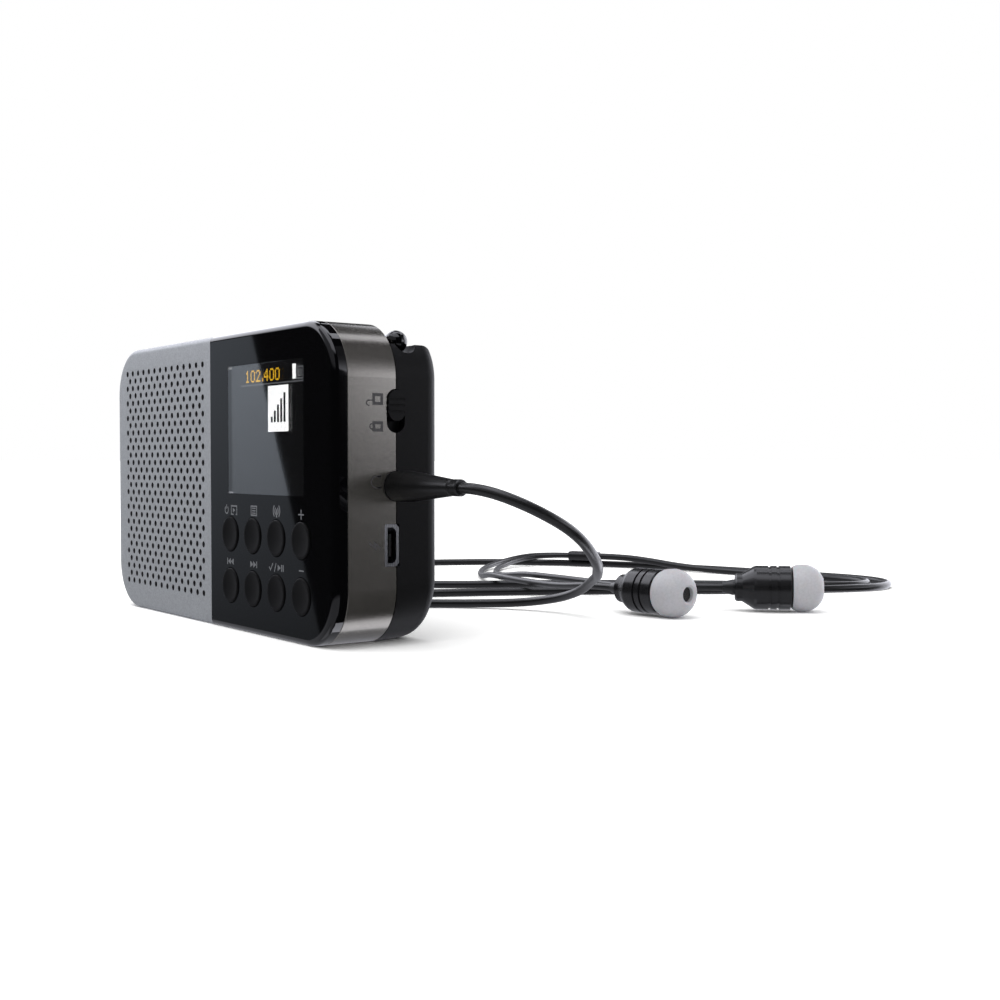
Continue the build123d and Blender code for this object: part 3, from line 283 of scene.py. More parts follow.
# Soft PVC of cord, plug and reliefs: black, half gloss, with the slight unevenness of extrusion.
soft_pvc, tree, shader, place = finish("soft_pvc", Base_Color=tone("#121213"), IOR=1.53)
skin = node(tree, "ShaderNodeTexNoise", {"Vector": place, "Scale": per(0.7), "Detail": 3.0})
gloss = node(tree, "ShaderNodeMapRange", {"Value": skin.outputs["Fac"], "To Min": 0.26, "To Max": 0.4})
bump = node(tree, "ShaderNodeBump", {"Height": skin.outputs["Fac"], "Strength": 0.25, "Distance": 0.02 * MM})
wire(tree, shader, Roughness=gloss.outputs[0], Normal=bump.outputs[0])

# Earbud shells of ABS, black and nearly glossy, with fine wear.
bud_abs, tree, shader, place = finish("glossy_bud_abs", IOR=1.5)
wear = node(tree, "ShaderNodeTexNoise", {"Vector": place, "Scale": per(2.5), "Detail": 5.0, "Roughness": 0.65})
colours = {"Factor": wear.outputs["Fac"], MIX_A: tone("#0d0d0e"), MIX_B: tone("#1b1b1d")}
blend = node(tree, "ShaderNodeMix", colours, data_type="RGBA")
gloss = node(tree, "ShaderNodeMapRange", {"Value": wear.outputs["Fac"], "To Min": 0.16, "To Max": 0.32})
wire(tree, shader, Base_Color=blend.outputs[MIX_RESULT], Roughness=gloss.outputs[0])

# Ear tips of moulded silicone: pale grey, waxy, with a few specks of lint.
silicone, tree, shader, place = finish("moulded_silicone", IOR=1.41, Subsurface_Weight=0.2, Subsurface_Scale=1.5 * MM)
lint = node(tree, "ShaderNodeTexNoise", {"Vector": place, "Scale": per(0.5), "Detail": 4.0, "Roughness": 0.7})
speck = node(tree, "ShaderNodeMapRange", {"Value": lint.outputs["Fac"], "From Min": 0.35, "From Max": 0.6})
colours = {"Factor": speck.outputs[0], MIX_A: tone("#acacb1"), MIX_B: tone("#b5b5ba")}
blend = node(tree, "ShaderNodeMix", colours, data_type="RGBA")
waxy = node(tree, "ShaderNodeMapRange", {"Value": lint.outputs["Fac"], "To Min": 0.42, "To Max": 0.58})
wire(tree, shader, Base_Color=blend.outputs[MIX_RESULT], Roughness=waxy.outputs[0])

# Nickel-plated brass pin with two black insulating rings, which divide its contacts.
plated_pin, tree, shader, place = finish("nickel_plated_pin", Roughness=0.18)
along_x = node(tree, "ShaderNodeSeparateXYZ", {"Vector": place}).outputs["X"]
found = [
    node(tree, "ShaderNodeMath", {0: along_x, 1: x * MM, 2: PIN_RING_HALF * MM}, operation="COMPARE").outputs[0]
    for x in PIN_RINGS_X
]
rings = node(tree, "ShaderNodeMath", {0: found[0], 1: found[1]}, operation="ADD")
colours = {"Factor": rings.outputs[0], MIX_A: tone("#cbc7be"), MIX_B: tone("#0c0c0d")}
blend = node(tree, "ShaderNodeMix", colours, data_type="RGBA")
metal = node(tree, "ShaderNodeMath", {0: 1.0, 1: rings.outputs[0]}, operation="SUBTRACT")
wire(tree, shader, Base_Color=blend.outputs[MIX_RESULT], Metallic=metal.outputs[0])

# Tinned sheet steel, pressed and folded: bright grey with rolled grain.
pressed_steel, tree, shader, place = finish("tinned_sheet_steel", Metallic=1.0)
rolled = node(tree, "ShaderNodeMapping", {"Vector": place, "Scale": (1.0, 1.0, 0.05)})
grain = node(tree, "ShaderNodeTexNoise", {"Vector": rolled.outputs[0], "Scale": per(0.2), "Detail": 3.0})
colours = {"Factor": grain.outputs["Fac"], MIX_A: tone("#8d8e90"), MIX_B: tone("#b2b3b5")}
blend = node(tree, "ShaderNodeMix", colours, data_type="RGBA")
satin = node(tree, "ShaderNodeMapRange", {"Value": grain.outputs["Fac"], "To Min": 0.2, "To Max": 0.36})
wire(tree, shader, Base_Color=blend.outputs[MIX_RESULT], Roughness=satin.outputs[0])

# Zinc-plated steel of screws, nut and pivot: bluish grey, a little cloudy.
zinc_plate, tree, shader, place = finish("zinc_plated_steel", Metallic=1.0)
cloud = node(tree, "ShaderNodeTexNoise", {"Vector": place, "Scale": per(0.6), "Detail": 4.0})
colours = {"Factor": cloud.outputs["Fac"], MIX_A: tone("#8c9096"), MIX_B: tone("#b4b7bb")}
blend = node(tree, "ShaderNodeMix", colours, data_type="RGBA")
satin = node(tree, "ShaderNodeMapRange", {"Value": cloud.outputs["Fac"], "To Min": 0.26, "To Max": 0.42})
wire(tree, shader, Base_Color=blend.outputs[MIX_RESULT], Roughness=satin.outputs[0])

# Glass-epoxy board under green solder resist, with the weave of the glass showing faintly.
epoxy_board, tree, shader, place = finish("glass_epoxy_board", Roughness=0.35, IOR=1.55)
turned = node(tree, "ShaderNodeMapping", {"Vector": place, "Rotation": (pi / 2, 0, 0)})
weave = node(tree, "ShaderNodeTexChecker", {"Vector": turned.outputs[0], "Scale": per(0.8)})
colours = {"Factor": weave.outputs["Fac"], MIX_A: tone("#15472c"), MIX_B: tone("#194f32")}
blend = node(tree, "ShaderNodeMix", colours, data_type="RGBA")
wire(tree, shader, Base_Color=blend.outputs[MIX_RESULT])

# Glass-filled nylon of switches and sockets: dull black with pale fibre flecks.
filled_nylon, tree, shader, place = finish("glass_filled_nylon", Roughness=0.55, IOR=1.53)
fibre = node(tree, "ShaderNodeTexNoise", {"Vector": place, "Scale": per(0.25), "Detail": 2.0})
fleck = node(tree, "ShaderNodeMapRange", {"Value": fibre.outputs["Fac"], "From Min": 0.55, "From Max": 0.75})
colours = {"Factor": fleck.outputs[0], MIX_A: tone("#121213"), MIX_B: tone("#2b2b2d")}
blend = node(tree, "ShaderNodeMix", colours, data_type="RGBA")
wire(tree, shader, Base_Color=blend.outputs[MIX_RESULT])

# Sintered ferrite: charcoal grey and finely porous.
ferrite, tree, shader, place = finish("sintered_ferrite", Roughness=0.7)
pores = node(tree, "ShaderNodeTexNoise", {"Vector": place, "Scale": per(0.3), "Detail": 4.0})
colours = {"Factor": pores.outputs["Fac"], MIX_A: tone("#1f1f21"), MIX_B: tone("#3a3a3d")}
blend = node(tree, "ShaderNodeMix", colours, data_type="RGBA")
wire(tree, shader, Base_Color=blend.outputs[MIX_RESULT])

# Pulp cone, dyed black: dull, with short fibres.
paper_cone, tree, shader, place = finish("dyed_paper_pulp", Roughness=0.85)
fibre = node(tree, "ShaderNodeTexNoise", {"Vector": place, "Scale": per(0.5), "Detail": 6.0, "Distortion": 1.5})
colours = {"Factor": fibre.outputs["Fac"], MIX_A: tone("#141413"), MIX_B: tone("#2c2b29")}
blend = node(tree, "ShaderNodeMix", colours, data_type="RGBA")
wire(tree, shader, Base_Color=blend.outputs[MIX_RESULT])

# Woven polyester dust cloth: black, with a plain weave of 0.5 mm threads.
dust_cloth, tree, shader, place = finish("woven_polyester", Roughness=0.8, Sheen_Weight=0.2)
turned = node(tree, "ShaderNodeMapping", {"Vector": place, "Rotation": (pi / 2, 0, 0)})
weave = node(tree, "ShaderNodeTexChecker", {"Vector": turned.outputs[0], "Scale": per(0.5)})
colours = {"Factor": weave.outputs["Fac"], MIX_A: tone("#101011"), MIX_B: tone("#1b1b1d")}
blend = node(tree, "ShaderNodeMix", colours, data_type="RGBA")
bump = node(tree, "ShaderNodeBump", {"Height": weave.outputs["Fac"], "Strength": 0.5, "Distance": 0.05 * MM})
wire(tree, shader, Base_Color=blend.outputs[MIX_RESULT], Normal=bump.outputs[0])

# Open-cell foam gasket: dark grey and spongy.
gasket_foam, tree, shader, place = finish("open_cell_foam", Roughness=0.9)
cells = node(tree, "ShaderNodeTexVoronoi", {"Vector": place, "Scale": per(0.6)})
colours = {"Factor": cells.outputs["Distance"], MIX_A: tone("#0e0e0f"), MIX_B: tone("#303033")}
blend = node(tree, "ShaderNodeMix", colours, data_type="RGBA")
wire(tree, shader, Base_Color=blend.outputs[MIX_RESULT])

# Flat cell in shrunk polymer film: silver blue with fine wrinkles.
cell_film, tree, shader, place = finish("shrunk_polymer_film", Metallic=0.4, Roughness=0.35)
wrinkle = node(tree, "ShaderNodeTexNoise", {"Vector": place, "Scale": per(3.0), "Detail": 3.0, "Distortion": 2.0})
colours = {"Factor": wrinkle.outputs["Fac"], MIX_A: tone("#7d8793"), MIX_B: tone("#97a1ad")}
blend = node(tree, "ShaderNodeMix", colours, data_type="RGBA")
bump = node(tree, "ShaderNodeBump", {"Height": wrinkle.outputs["Fac"], "Strength": 0.5, "Distance": 0.1 * MM})
wire(tree, shader, Base_Color=blend.outputs[MIX_RESULT], Normal=bump.outputs[0])

# Gold flash over nickel on the contacts.
gold_flash, tree, shader, place = finish("gold_flash", Metallic=1.0, Base_Color=tone("#d9b565"))
wipe = node(tree, "ShaderNodeTexNoise", {"Vector": place, "Scale": per(0.3), "Detail": 2.0})
satin = node(tree, "ShaderNodeMapRange", {"Value": wipe.outputs["Fac"], "To Min": 0.2, "To Max": 0.4})
wire(tree, shader, Roughness=satin.outputs[0])

# Screen-printed inks: pale grey on the fascia and charcoal on the band, a little thin in places.
inks = {}
for name, thin, full in (
    ("pale_grey_screen_ink", "#55565a", "#74767a"),
    ("charcoal_screen_ink", "#3f3e40", "#302f31"),
):
    inks[name], tree, shader, place = finish(name, Roughness=0.5)
    cover = node(tree, "ShaderNodeTexNoise", {"Vector": place, "Scale": per(0.25), "Detail": 2.0})
    colours = {"Factor": cover.outputs["Fac"], MIX_A: tone(thin), MIX_B: tone(full)}
    blend = node(tree, "ShaderNodeMix", colours, data_type="RGBA")
    wire(tree, shader, Base_Color=blend.outputs[MIX_RESULT])

# Lit cells of the display, one finish for each colour, with the dark matrix between the cells.
lit = {}
for name, colour, strength in (
    ("lit_cells_amber", "#fbc315", 1.6),
    ("lit_cells_white", "#ffffff", 2.4),
    ("lit_cells_grey", "#7d7f83", 0.8),
    ("lit_cells_charcoal", "#2a2b2d", 0.9),
):
    lit[name], tree, shader, place = finish(name, Base_Color=tone("#050505"), Emission_Strength=strength, Roughness=0.1)
    turned = node(tree, "ShaderNodeMapping", {"Vector": place, "Rotation": (pi / 2, 0, 0)})
    cells = node(
        tree,
        "ShaderNodeTexBrick",
        {
            "Vector": turned.outputs[0],
            "Color1": tone(colour),
            "Color2": tone(colour),
            "Mortar": tone("#1c1c1c"),
            "Scale": per(1.0),
            "Mortar Size": 0.012,
            "Brick Width": PIXEL / 2,
            "Row Height": PIXEL_RISE / 2,
        },
        offset=0.0,
    )
    wire(tree, shader, Emission_Color=cells.outputs["Color"])

CARRIED = {
    piano_black: ["fascia", "antenna_tip"],
    gunmetal_lacquer: ["front_housing"],
    spark_abs: ["rear_cover", "lock_slider"],
    clear_acrylic: ["display_lens"],
    display_glass: ["display_module"],
    satin_abs: [
        name + "_button"
        for name in ("power", "menu", "preset", "volume_up", "previous", "next", "select", "volume_down")
    ],
    chrome_plate: ["antenna_knuckle", "antenna_tube_1", "antenna_tube_2", "antenna_tube_3", "antenna_rod"],
    pressed_steel: ["usb_socket", "speaker_frame", "radio_shield", "antenna_bracket"],
    zinc_plate: ["case_screws", "board_screws", "antenna_nut", "antenna_pivot"],
    soft_pvc: ["plug_body", "cord_splitter", "left_cord_relief", "right_cord_relief"],
    bud_abs: ["left_earbud_shell", "right_earbud_shell"],
    silicone: ["left_ear_tip", "right_ear_tip"],
    plated_pin: ["plug_pin"],
    epoxy_board: ["main_board"],
    filled_nylon: ["key_switches", "headphone_jack", "lock_switch", "usb_tongue"],
    ferrite: ["speaker_magnet"],
    paper_cone: ["speaker_cone"],
    dust_cloth: ["grille_cloth"],
    gasket_foam: ["speaker_gasket"],
    cell_film: ["battery"],
}
for material, names in CARRIED.items():
    for name in names:
        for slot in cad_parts[name].material_slots:
            slot.material = material


def shown(name, data):
    """Object in the scene."""
    made = bpy.data.objects.new(name, data)
    bpy.context.scene.collection.objects.link(made)
    return made


def closed_mesh(shell, name):
    """Mesh of a finished shell, its faces turned outward."""
    bmesh.ops.recalc_face_normals(shell, faces=shell.faces)
    mesh = bpy.data.meshes.new(name)
    shell.to_mesh(mesh)
    shell.free()
    return mesh


def solid(lofts):
    """Mesh of closed shells. Each is a list of rings of equal length, with a flat face over both ends."""
    shell = bmesh.new()
    for rings in lofts:
        rows = [[shell.verts.new(Vector(point) * MM) for point in ring] for ring in rings]
        for low, high in zip(rows, rows[1:]):
            for i in range(len(low)):
                shell.faces.new((low[i - 1], low[i], high[i], high[i - 1]))
        shell.faces.new(rows[0])
        shell.faces.new(rows[-1])
    return closed_mesh(shell, "solid")


def piece(name, data, body, material=None, replaced=()):
    """Object of the finished part: rides on a body, may take a finish, and stands for CAD nodes."""
    made = shown(name, data)
    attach(made, body)
    if replaced:
        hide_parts(*replaced)
    if material:
        data.materials.append(material)
    return made


def grown(mesh, tree, values):
    """Plain mesh that a node tree makes from a mesh, with the tree's named inputs set."""
    carrier = shown("carrier", mesh)
    modifier = carrier.modifiers.new("tree", "NODES")
    modifier.node_group = tree
    sockets = {item.name: item.identifier for item in tree.interface.items_tree if item.in_out == "INPUT"}
    for key, value in values.items():
        modifier[sockets[key]] = value
    result = bpy.data.meshes.new_from_object(carrier.evaluated_get(bpy.context.evaluated_depsgraph_get()))
    carrier.modifiers.remove(modifier)
    bpy.data.objects.remove(carrier)
    return result


def tree_with(name, inputs):
    """Geometry tree with a geometry in and out, and further inputs by name and socket kind."""
    tree = bpy.data.node_groups.new(name, "GeometryNodeTree")
    tree.interface.new_socket("Geometry", in_out="INPUT", socket_type="NodeSocketGeometry")
    for key, kind in inputs.items():
        tree.interface.new_socket(key, in_out="INPUT", socket_type="NodeSocket" + kind)
    tree.interface.new_socket("Geometry", in_out="OUTPUT", socket_type="NodeSocketGeometry")
    return tree, node(tree, "NodeGroupInput").outputs


# Grille: a closed tray, pierced by staggered rows of holes with eased mouths.


def panel_outline(inset, seam_x, y):
    """Left part of the case's outline, drawn in on its three outer sides."""
    radius = CORNER_R - inset
    corner_x = -CASE_W / 2 + CORNER_R
    points = [(seam_x, y, inset)]
    for corner_z, start in ((CORNER_R, 270), (CASE_H - CORNER_R, 180)):
        for i in range(CORNER_STEPS + 1):
            angle = radians(start - 90 * i / CORNER_STEPS)
            points.append((corner_x + radius * cos(angle), y, corner_z + radius * sin(angle)))
    return points + [(seam_x, y, CASE_H - inset)]


def ring_y(x, z, radius, y):
    """Circle about a line along Y."""
    angles = [2 * pi * i / ROUND_SIDES for i in range(ROUND_SIDES)]
    return [(x + radius * cos(t), y, z + radius * sin(t)) for t in angles]


face_y = Y_FRONT + PANEL_WALL
tray = [
    panel_outline(PANEL_WALL, SEAM_X - SEAM_RIB, face_y),
    panel_outline(PANEL_WALL, SEAM_X - SEAM_RIB, Y_PANEL),
    panel_outline(0, SEAM_X, Y_PANEL),
]
for i in range(EDGE_STEPS + 1):
    angle = radians(90 * i / EDGE_STEPS)
    tray.append(
        panel_outline(FRONT_EDGE_R * (1 - cos(angle)), SEAM_X, Y_FRONT + FRONT_EDGE_R * (1 - sin(angle)))
    )

tree, given = tree_with(
    "pierced_field",
    {
        "Hole Radius": "Float",
        "Flare": "Float",
        "Cutter Length": "Float",
        "Mouth Y": "Float",
        "Middle X": "Float",
        "Middle Z": "Float",
        "Pitch X": "Float",
        "Pitch Z": "Float",
        "Columns": "Int",
        "Rows": "Int",
        "Finish": "Material",
        "Hole Finish": "Material",
    },
)
cutter = node(
    tree,
    "GeometryNodeMeshCylinder",
    {"Vertices": HOLE_SIDES, "Side Segments": 2, "Radius": given["Hole Radius"], "Depth": given["Cutter Length"]},
)
position = node(tree, "GeometryNodeInputPosition").outputs[0]
height = node(tree, "ShaderNodeSeparateXYZ", {0: position}).outputs["Z"]
outer = node(tree, "FunctionNodeCompare", {0: height, 1: given["Hole Radius"]}, operation="GREATER_THAN")
spread = node(tree, "ShaderNodeVectorMath", {0: position, 1: (1, 1, 0)}, operation="MULTIPLY")
outward = node(tree, "ShaderNodeVectorMath", {0: spread.outputs[0]}, operation="NORMALIZE")
flare = node(tree, "ShaderNodeVectorMath", {0: outward.outputs[0], "Scale": given["Flare"]}, operation="SCALE")
flared = node(
    tree,
    "GeometryNodeSetPosition",
    {"Geometry": cutter.outputs["Mesh"], "Selection": outer.outputs[0], "Offset": flare.outputs[0]},
)
bare = node(tree, "GeometryNodeSetMaterial", {"Geometry": flared.outputs[0], "Material": given["Hole Finish"]})
aimed = node(tree, "GeometryNodeTransform", {"Geometry": bare.outputs[0], "Rotation": (pi / 2, 0, 0)})
double_z = node(tree, "ShaderNodeMath", {0: given["Pitch Z"], 1: 2.0}, operation="MULTIPLY")
middle = node(tree, "ShaderNodeCombineXYZ", {0: given["Middle X"], 1: given["Mouth Y"], 2: given["Middle Z"]})
fields = []
for fewer in (0, 1):
    columns = node(tree, "ShaderNodeMath", {0: given["Columns"], 1: fewer}, operation="SUBTRACT")
    half_rows = node(tree, "ShaderNodeMath", {0: given["Rows"], 1: 1 - 2 * fewer}, operation="ADD")
    rows = node(tree, "ShaderNodeMath", {0: half_rows.outputs[0], 1: 2.0}, operation="DIVIDE")
    gaps_x = node(tree, "ShaderNodeMath", {0: columns.outputs[0], 1: 1.0}, operation="SUBTRACT")
    gaps_z = node(tree, "ShaderNodeMath", {0: rows.outputs[0], 1: 1.0}, operation="SUBTRACT")
    size_x = node(tree, "ShaderNodeMath", {0: gaps_x.outputs[0], 1: given["Pitch X"]}, operation="MULTIPLY")
    size_z = node(tree, "ShaderNodeMath", {0: gaps_z.outputs[0], 1: double_z.outputs[0]}, operation="MULTIPLY")
    grid = node(
        tree,
        "GeometryNodeMeshGrid",
        {
            "Size X": size_x.outputs[0],
            "Size Y": size_z.outputs[0],
            "Vertices X": columns.outputs[0],
            "Vertices Y": rows.outputs[0],
        },
    )
    stood = node(
        tree,
        "GeometryNodeTransform",
        {"Geometry": grid.outputs["Mesh"], "Rotation": (pi / 2, 0, 0), "Translation": middle.outputs[0]},
    )
    fields.append(
        node(tree, "GeometryNodeInstanceOnPoints", {"Points": stood.outputs[0], "Instance": aimed.outputs[0]})
    )
both = node(tree, "GeometryNodeJoinGeometry")
for field in fields:
    tree.links.new(field.outputs[0], both.inputs[0])
cutters = node(tree, "GeometryNodeRealizeInstances", {"Geometry": both.outputs[0]})
lacquered = node(tree, "GeometryNodeSetMaterial", {"Geometry": given["Geometry"], "Material": given["Finish"]})
pierced = node(tree, "GeometryNodeMeshBoolean", operation="DIFFERENCE", solver="MANIFOLD")
tree.links.new(lacquered.outputs[0], pierced.inputs["Mesh 1"])
tree.links.new(cutters.outputs[0], pierced.inputs["Mesh 2"])
node(tree, "NodeGroupOutput", {"Geometry": pierced.outputs["Mesh"]})
panel = grown(
    solid([tray]),
    tree,
    {
        "Hole Radius": HOLE_R * MM,
        "Flare": HOLE_FLARE * MM,
        "Cutter Length": CUTTER_L * MM,
        "Mouth Y": (Y_FRONT + HOLE_MOUTH) * MM,
        "Middle X": FIELD[0] * MM,
        "Middle Z": FIELD[1] * MM,
        "Pitch X": HOLE_PITCH_X * MM,
        "Pitch Z": HOLE_PITCH_Z * MM,
        "Columns": HOLE_COLUMNS,
        "Rows": HOLE_ROWS,
        "Finish": silver_lacquer,
        "Hole Finish": hole_wall_abs,
    },
)
panel.shade_smooth()
panel.set_sharp_from_angle(angle=radians(SHARP_ANGLE))
piece("pierced_grille", panel, "radio", replaced=["speaker_grille"])
pegs = solid([[ring_y(x, z, PEG_R, face_y - PEG_SINK), ring_y(x, z, PEG_R, PEG_BACK_Y)] for x, z in PEG_PLACES])
piece("grille_pegs", pegs, "radio", silver_lacquer)

# Signs and display picture: thin flat shapes, each a run of rungs between a left and a right edge.


def stroke(points, width, closed=False):
    """Rungs of a line of even width through 2-D points, mitred at its corners."""
    rungs = []
    count = len(points)
    for i, (x, z) in enumerate(points):
        before = points[i - 1] if closed or i else points[0]
        after = points[(i + 1) % count] if closed or i < count - 1 else points[-1]
        ways = []
        for (x0, z0), (x1, z1) in ((before, (x, z)), ((x, z), after)):
            length = hypot(x1 - x0, z1 - z0)
            if length:
                ways.append(((x1 - x0) / length, (z1 - z0) / length))
        way = (ways[0][0] + ways[-1][0], ways[0][1] + ways[-1][1])
        length = hypot(*way)
        normal = (-way[1] / length, way[0] / length)
        reach = width / length
        rungs.append(
            [
                (x + normal[0] * reach, z + normal[1] * reach),
                (x - normal[0] * reach, z - normal[1] * reach),
            ]
        )
    return rungs, closed


def bar(x0, z0, x1, z1):
    """Rungs of a filled rectangle."""
    return [[(x0, z0), (x1, z0)], [(x0, z1), (x1, z1)]], False


def arc(x, z, radius, start, end, steps=16):
    """Points along part of a circle, between two angles in degrees."""
    angles = [radians(start + (end - start) * i / steps) for i in range(steps + 1)]
    return [(x + radius * cos(a), z + radius * sin(a)) for a in angles]


def wedge(x0, x1, z, half):
    """Rungs of a filled triangle from its upright side at x0 to its point at x1."""
    return [[(x0, z - half), (x0, z + half)], [(x1, z - WEDGE_TIP), (x1, z + WEDGE_TIP)]], False


def flat_shapes(shapes, placed, depth):
    """Mesh of thin closed solids from runs of rungs. placed turns (u, v, depth) into a place."""
    shell = bmesh.new()
    for rungs, closed in shapes:
        rows = []
        for (u0, v0), (u1, v1) in rungs:
            corners = [(u0, v0, 0), (u1, v1, 0), (u1, v1, depth), (u0, v0, depth)]
            rows.append([shell.verts.new(Vector(placed(*corner)) * MM) for corner in corners])
        pairs = list(zip(rows, rows[1:])) + ([(rows[-1], rows[0])] if closed else [])
        for low, high in pairs:
            for i in range(4):
                shell.faces.new((low[i - 1], low[i], high[i], high[i - 1]))
        if not closed:
            shell.faces.new(rows[0])
            shell.faces.new(rows[-1])
    return closed_mesh(shell, "flat_shapes")


def on_fascia(u, v, depth):
    return (u, Y_FRONT - depth + INK_SINK, v)


def on_side(u, v, depth):
    return (X_SIDE + depth - INK_SINK, u, v)


def on_display(u, v, depth):
    return (u, PICTURE_Y - depth, v)


# Above the buttons: power and source, list, aerial with its waves, plus, then back, forward, tick with play, minus.
left, second, third, right = BUTTON_COLUMNS
high, low = [z + SIGN_RISE for z in BUTTON_ROWS]
list_x = second + 0.6
signs = [
    stroke(arc(left - 1.9, high, 0.8, 125, 415), SIGN_LINE),
    bar(left - 2.05, high + 0.2, left - 1.75, high + 1.15),
    stroke([(left + 1.5, high - 0.9), (left + 0.4, high - 0.9), (left + 0.4, high + 0.9), (left + 3.1, high + 0.9),
            (left + 3.1, high - 0.9), (left + 2.6, high - 0.9)], SIGN_LINE),
    wedge(left + 1.2, left + 2.3, high, 0.5),
    stroke([(list_x - 1.3, high - 0.8), (list_x + 1.3, high - 0.8), (list_x + 1.3, high + 1.1),
            (list_x - 1.3, high + 1.1)], SIGN_LINE, closed=True),
    stroke(arc(third + 0.2, high + 0.4, 0.75, -60, 60), WAVE_LINE),
    stroke(arc(third + 0.2, high + 0.4, 0.75, 120, 240), WAVE_LINE),
    stroke(arc(third + 0.2, high + 0.4, 1.45, -50, 50), WAVE_LINE),
    stroke(arc(third + 0.2, high + 0.4, 1.45, 130, 230), WAVE_LINE),
    bar(third - 0.05, high - 0.9, third + 0.45, high + 0.75),
    bar(right - 1.15, high - 0.13, right + 1.15, high + 0.13),
    bar(right - 0.16, high + 0.15, right + 0.16, high + 1.0),
    bar(right - 0.16, high - 1.0, right + 0.16, high - 0.15),
    wedge(left, left - 1.3, low, 0.7),
    wedge(left + 1.4, left + 0.1, low, 0.7),
    bar(left - 1.75, low - 0.7, left - 1.4, low + 0.7),
    wedge(second - 1.2, second + 0.1, low, 0.7),
    wedge(second + 0.2, second + 1.5, low, 0.7),
    bar(second + 1.6, low - 0.7, second + 1.95, low + 0.7),
    stroke([(third - 3.2, low), (third - 2.6, low - 0.6), (third - 1.5, low + 0.8)], SIGN_LINE),
    stroke([(third - 0.9, low - 0.9), (third - 0.1, low + 0.9)], SIGN_LINE),
    wedge(third + 0.6, third + 1.9, low, 0.7),
    bar(third + 2.1, low - 0.7, third + 2.5, low + 0.7),
    bar(third + 2.8, low - 0.7, third + 3.2, low + 0.7),
    bar(right - 1.0, low - 0.13, right + 1.0, low + 0.13),
]
signs += [bar(list_x - 0.8, high + z - 0.12, list_x + 0.8, high + z + 0.12) for z in (-0.35, 0.15, 0.65)]
piece("fascia_signs", flat_shapes(signs, on_fascia, INK_T), "radio", inks["pale_grey_screen_ink"])

# Beside the lock, jack and charging socket: open and shut padlocks, headphones and a flash, turned on their sides.
signs = []
for middle, half, opened in ((48.5, 0.85, 0.75), (43.2, 0.7, 0.0)):
    signs.append(stroke([(-3.1, middle - half), (-1.3, middle - half), (-1.3, middle + half), (-3.1, middle + half)],
                        PADLOCK_LINE, closed=True))
    hoop = arc(-3.5 - opened, middle - opened, 0.5, 90, 270)
    signs.append(stroke([(-3.3, middle - opened + 0.5)] + hoop + [(-3.3 - opened, middle - opened - 0.5)], SIDE_LINE))
signs.append(stroke([(-1.5, 33.5), (-2.6, 33.5)] + arc(-2.6, 32.4, 1.1, 90, 270) + [(-1.5, 31.3)], SIDE_LINE))
signs.append(bar(-2.3, 33.25, -1.5, 33.75))
signs.append(bar(-2.3, 31.05, -1.5, 31.55))
signs.append(stroke([(-4.2, 20.6), (-2.8, 19.6), (-3.0, 20.5), (-1.6, 19.5)], FLASH_LINE))
piece("side_signs", flat_shapes(signs, on_side, INK_T), "radio", inks["charcoal_screen_ink"])

# Cells of one size at marked places, as the display's lit cells and the socket's contacts are.
tree, given = tree_with("cells_at_places", {"Size": "Vector", "Finish": "Material"})
cell = node(tree, "GeometryNodeMeshCube", {"Size": given["Size"]})
laid = node(tree, "GeometryNodeInstanceOnPoints", {"Points": given["Geometry"], "Instance": cell.outputs["Mesh"]})
whole = node(tree, "GeometryNodeRealizeInstances", {"Geometry": laid.outputs[0]})
coloured = node(tree, "GeometryNodeSetMaterial", {"Geometry": whole.outputs[0], "Material": given["Finish"]})
node(tree, "NodeGroupOutput", {"Geometry": coloured.outputs[0]})
cells_tree = tree


def cells(places, size, material):
    """Mesh of equal boxes about the given places."""
    marks = bpy.data.meshes.new("marks")
    marks.from_pydata([Vector(place) * MM for place in places], [], [])
    return grown(marks, cells_tree, {"Size": Vector(size) * MM, "Finish": material})


# A frequency in figures five cells wide and seven high.
FIGURES = {
    "0": (".###.", "#...#", "#...#", "#...#", "#...#", "#...#", ".###."),
    "1": ("..#..", ".##..", "..#..", "..#..", "..#..", "..#..", ".###."),
    "2": (".###.", "#...#", "....#", "...#.", "..#..", ".#...", "#####"),
    "4": ("...#.", "..##.", ".#.#.", "#..#.", "#####", "...#.", "...#."),
    ".": ("..", "..", "..", "..", "..", ".#", ".#"),
}
places = []
x = FIGURES_LEFT
for figure in "102.400":
    for row, line in enumerate(FIGURES[figure]):
        places += [
            (x + i * PIXEL, PICTURE_Y - PICTURE_T / 2, FIGURES_TOP - (row + 0.5) * PIXEL_RISE)
            for i, mark in enumerate(line)
            if mark == "#"
        ]
    x += (len(FIGURES[figure][0]) + 1) * PIXEL
piece(
    "display_figures",
    cells(places, (PIXEL_FILL * PIXEL, PICTURE_T, PIXEL_FILL * PIXEL_RISE), lit["lit_cells_amber"]),
    "radio",
)
shapes = [bar(*TILE), bar(*BLOCK)]
piece("display_tile", flat_shapes(shapes, on_display, PICTURE_T), "radio", lit["lit_cells_white"])
shapes = [
    bar(*RULE),
    stroke([(40.0, 52.9), (42.5, 52.9), (42.5, 55.2), (40.0, 55.2)], CHARGE_LINE, closed=True),
    bar(40.4, 53.3, 41.0, 54.8),
    bar(41.3, 53.3, 41.9, 54.8),
]
piece("display_line_and_charge", flat_shapes(shapes, on_display, PICTURE_T), "radio", lit["lit_cells_grey"])
x, z = LEVEL_START
shapes = [
    bar(x + LEVEL_PITCH * i, z, x + LEVEL_PITCH * i + LEVEL_W, z + LEVEL_RISE * (i + 1)) for i in range(LEVEL_COUNT)
]


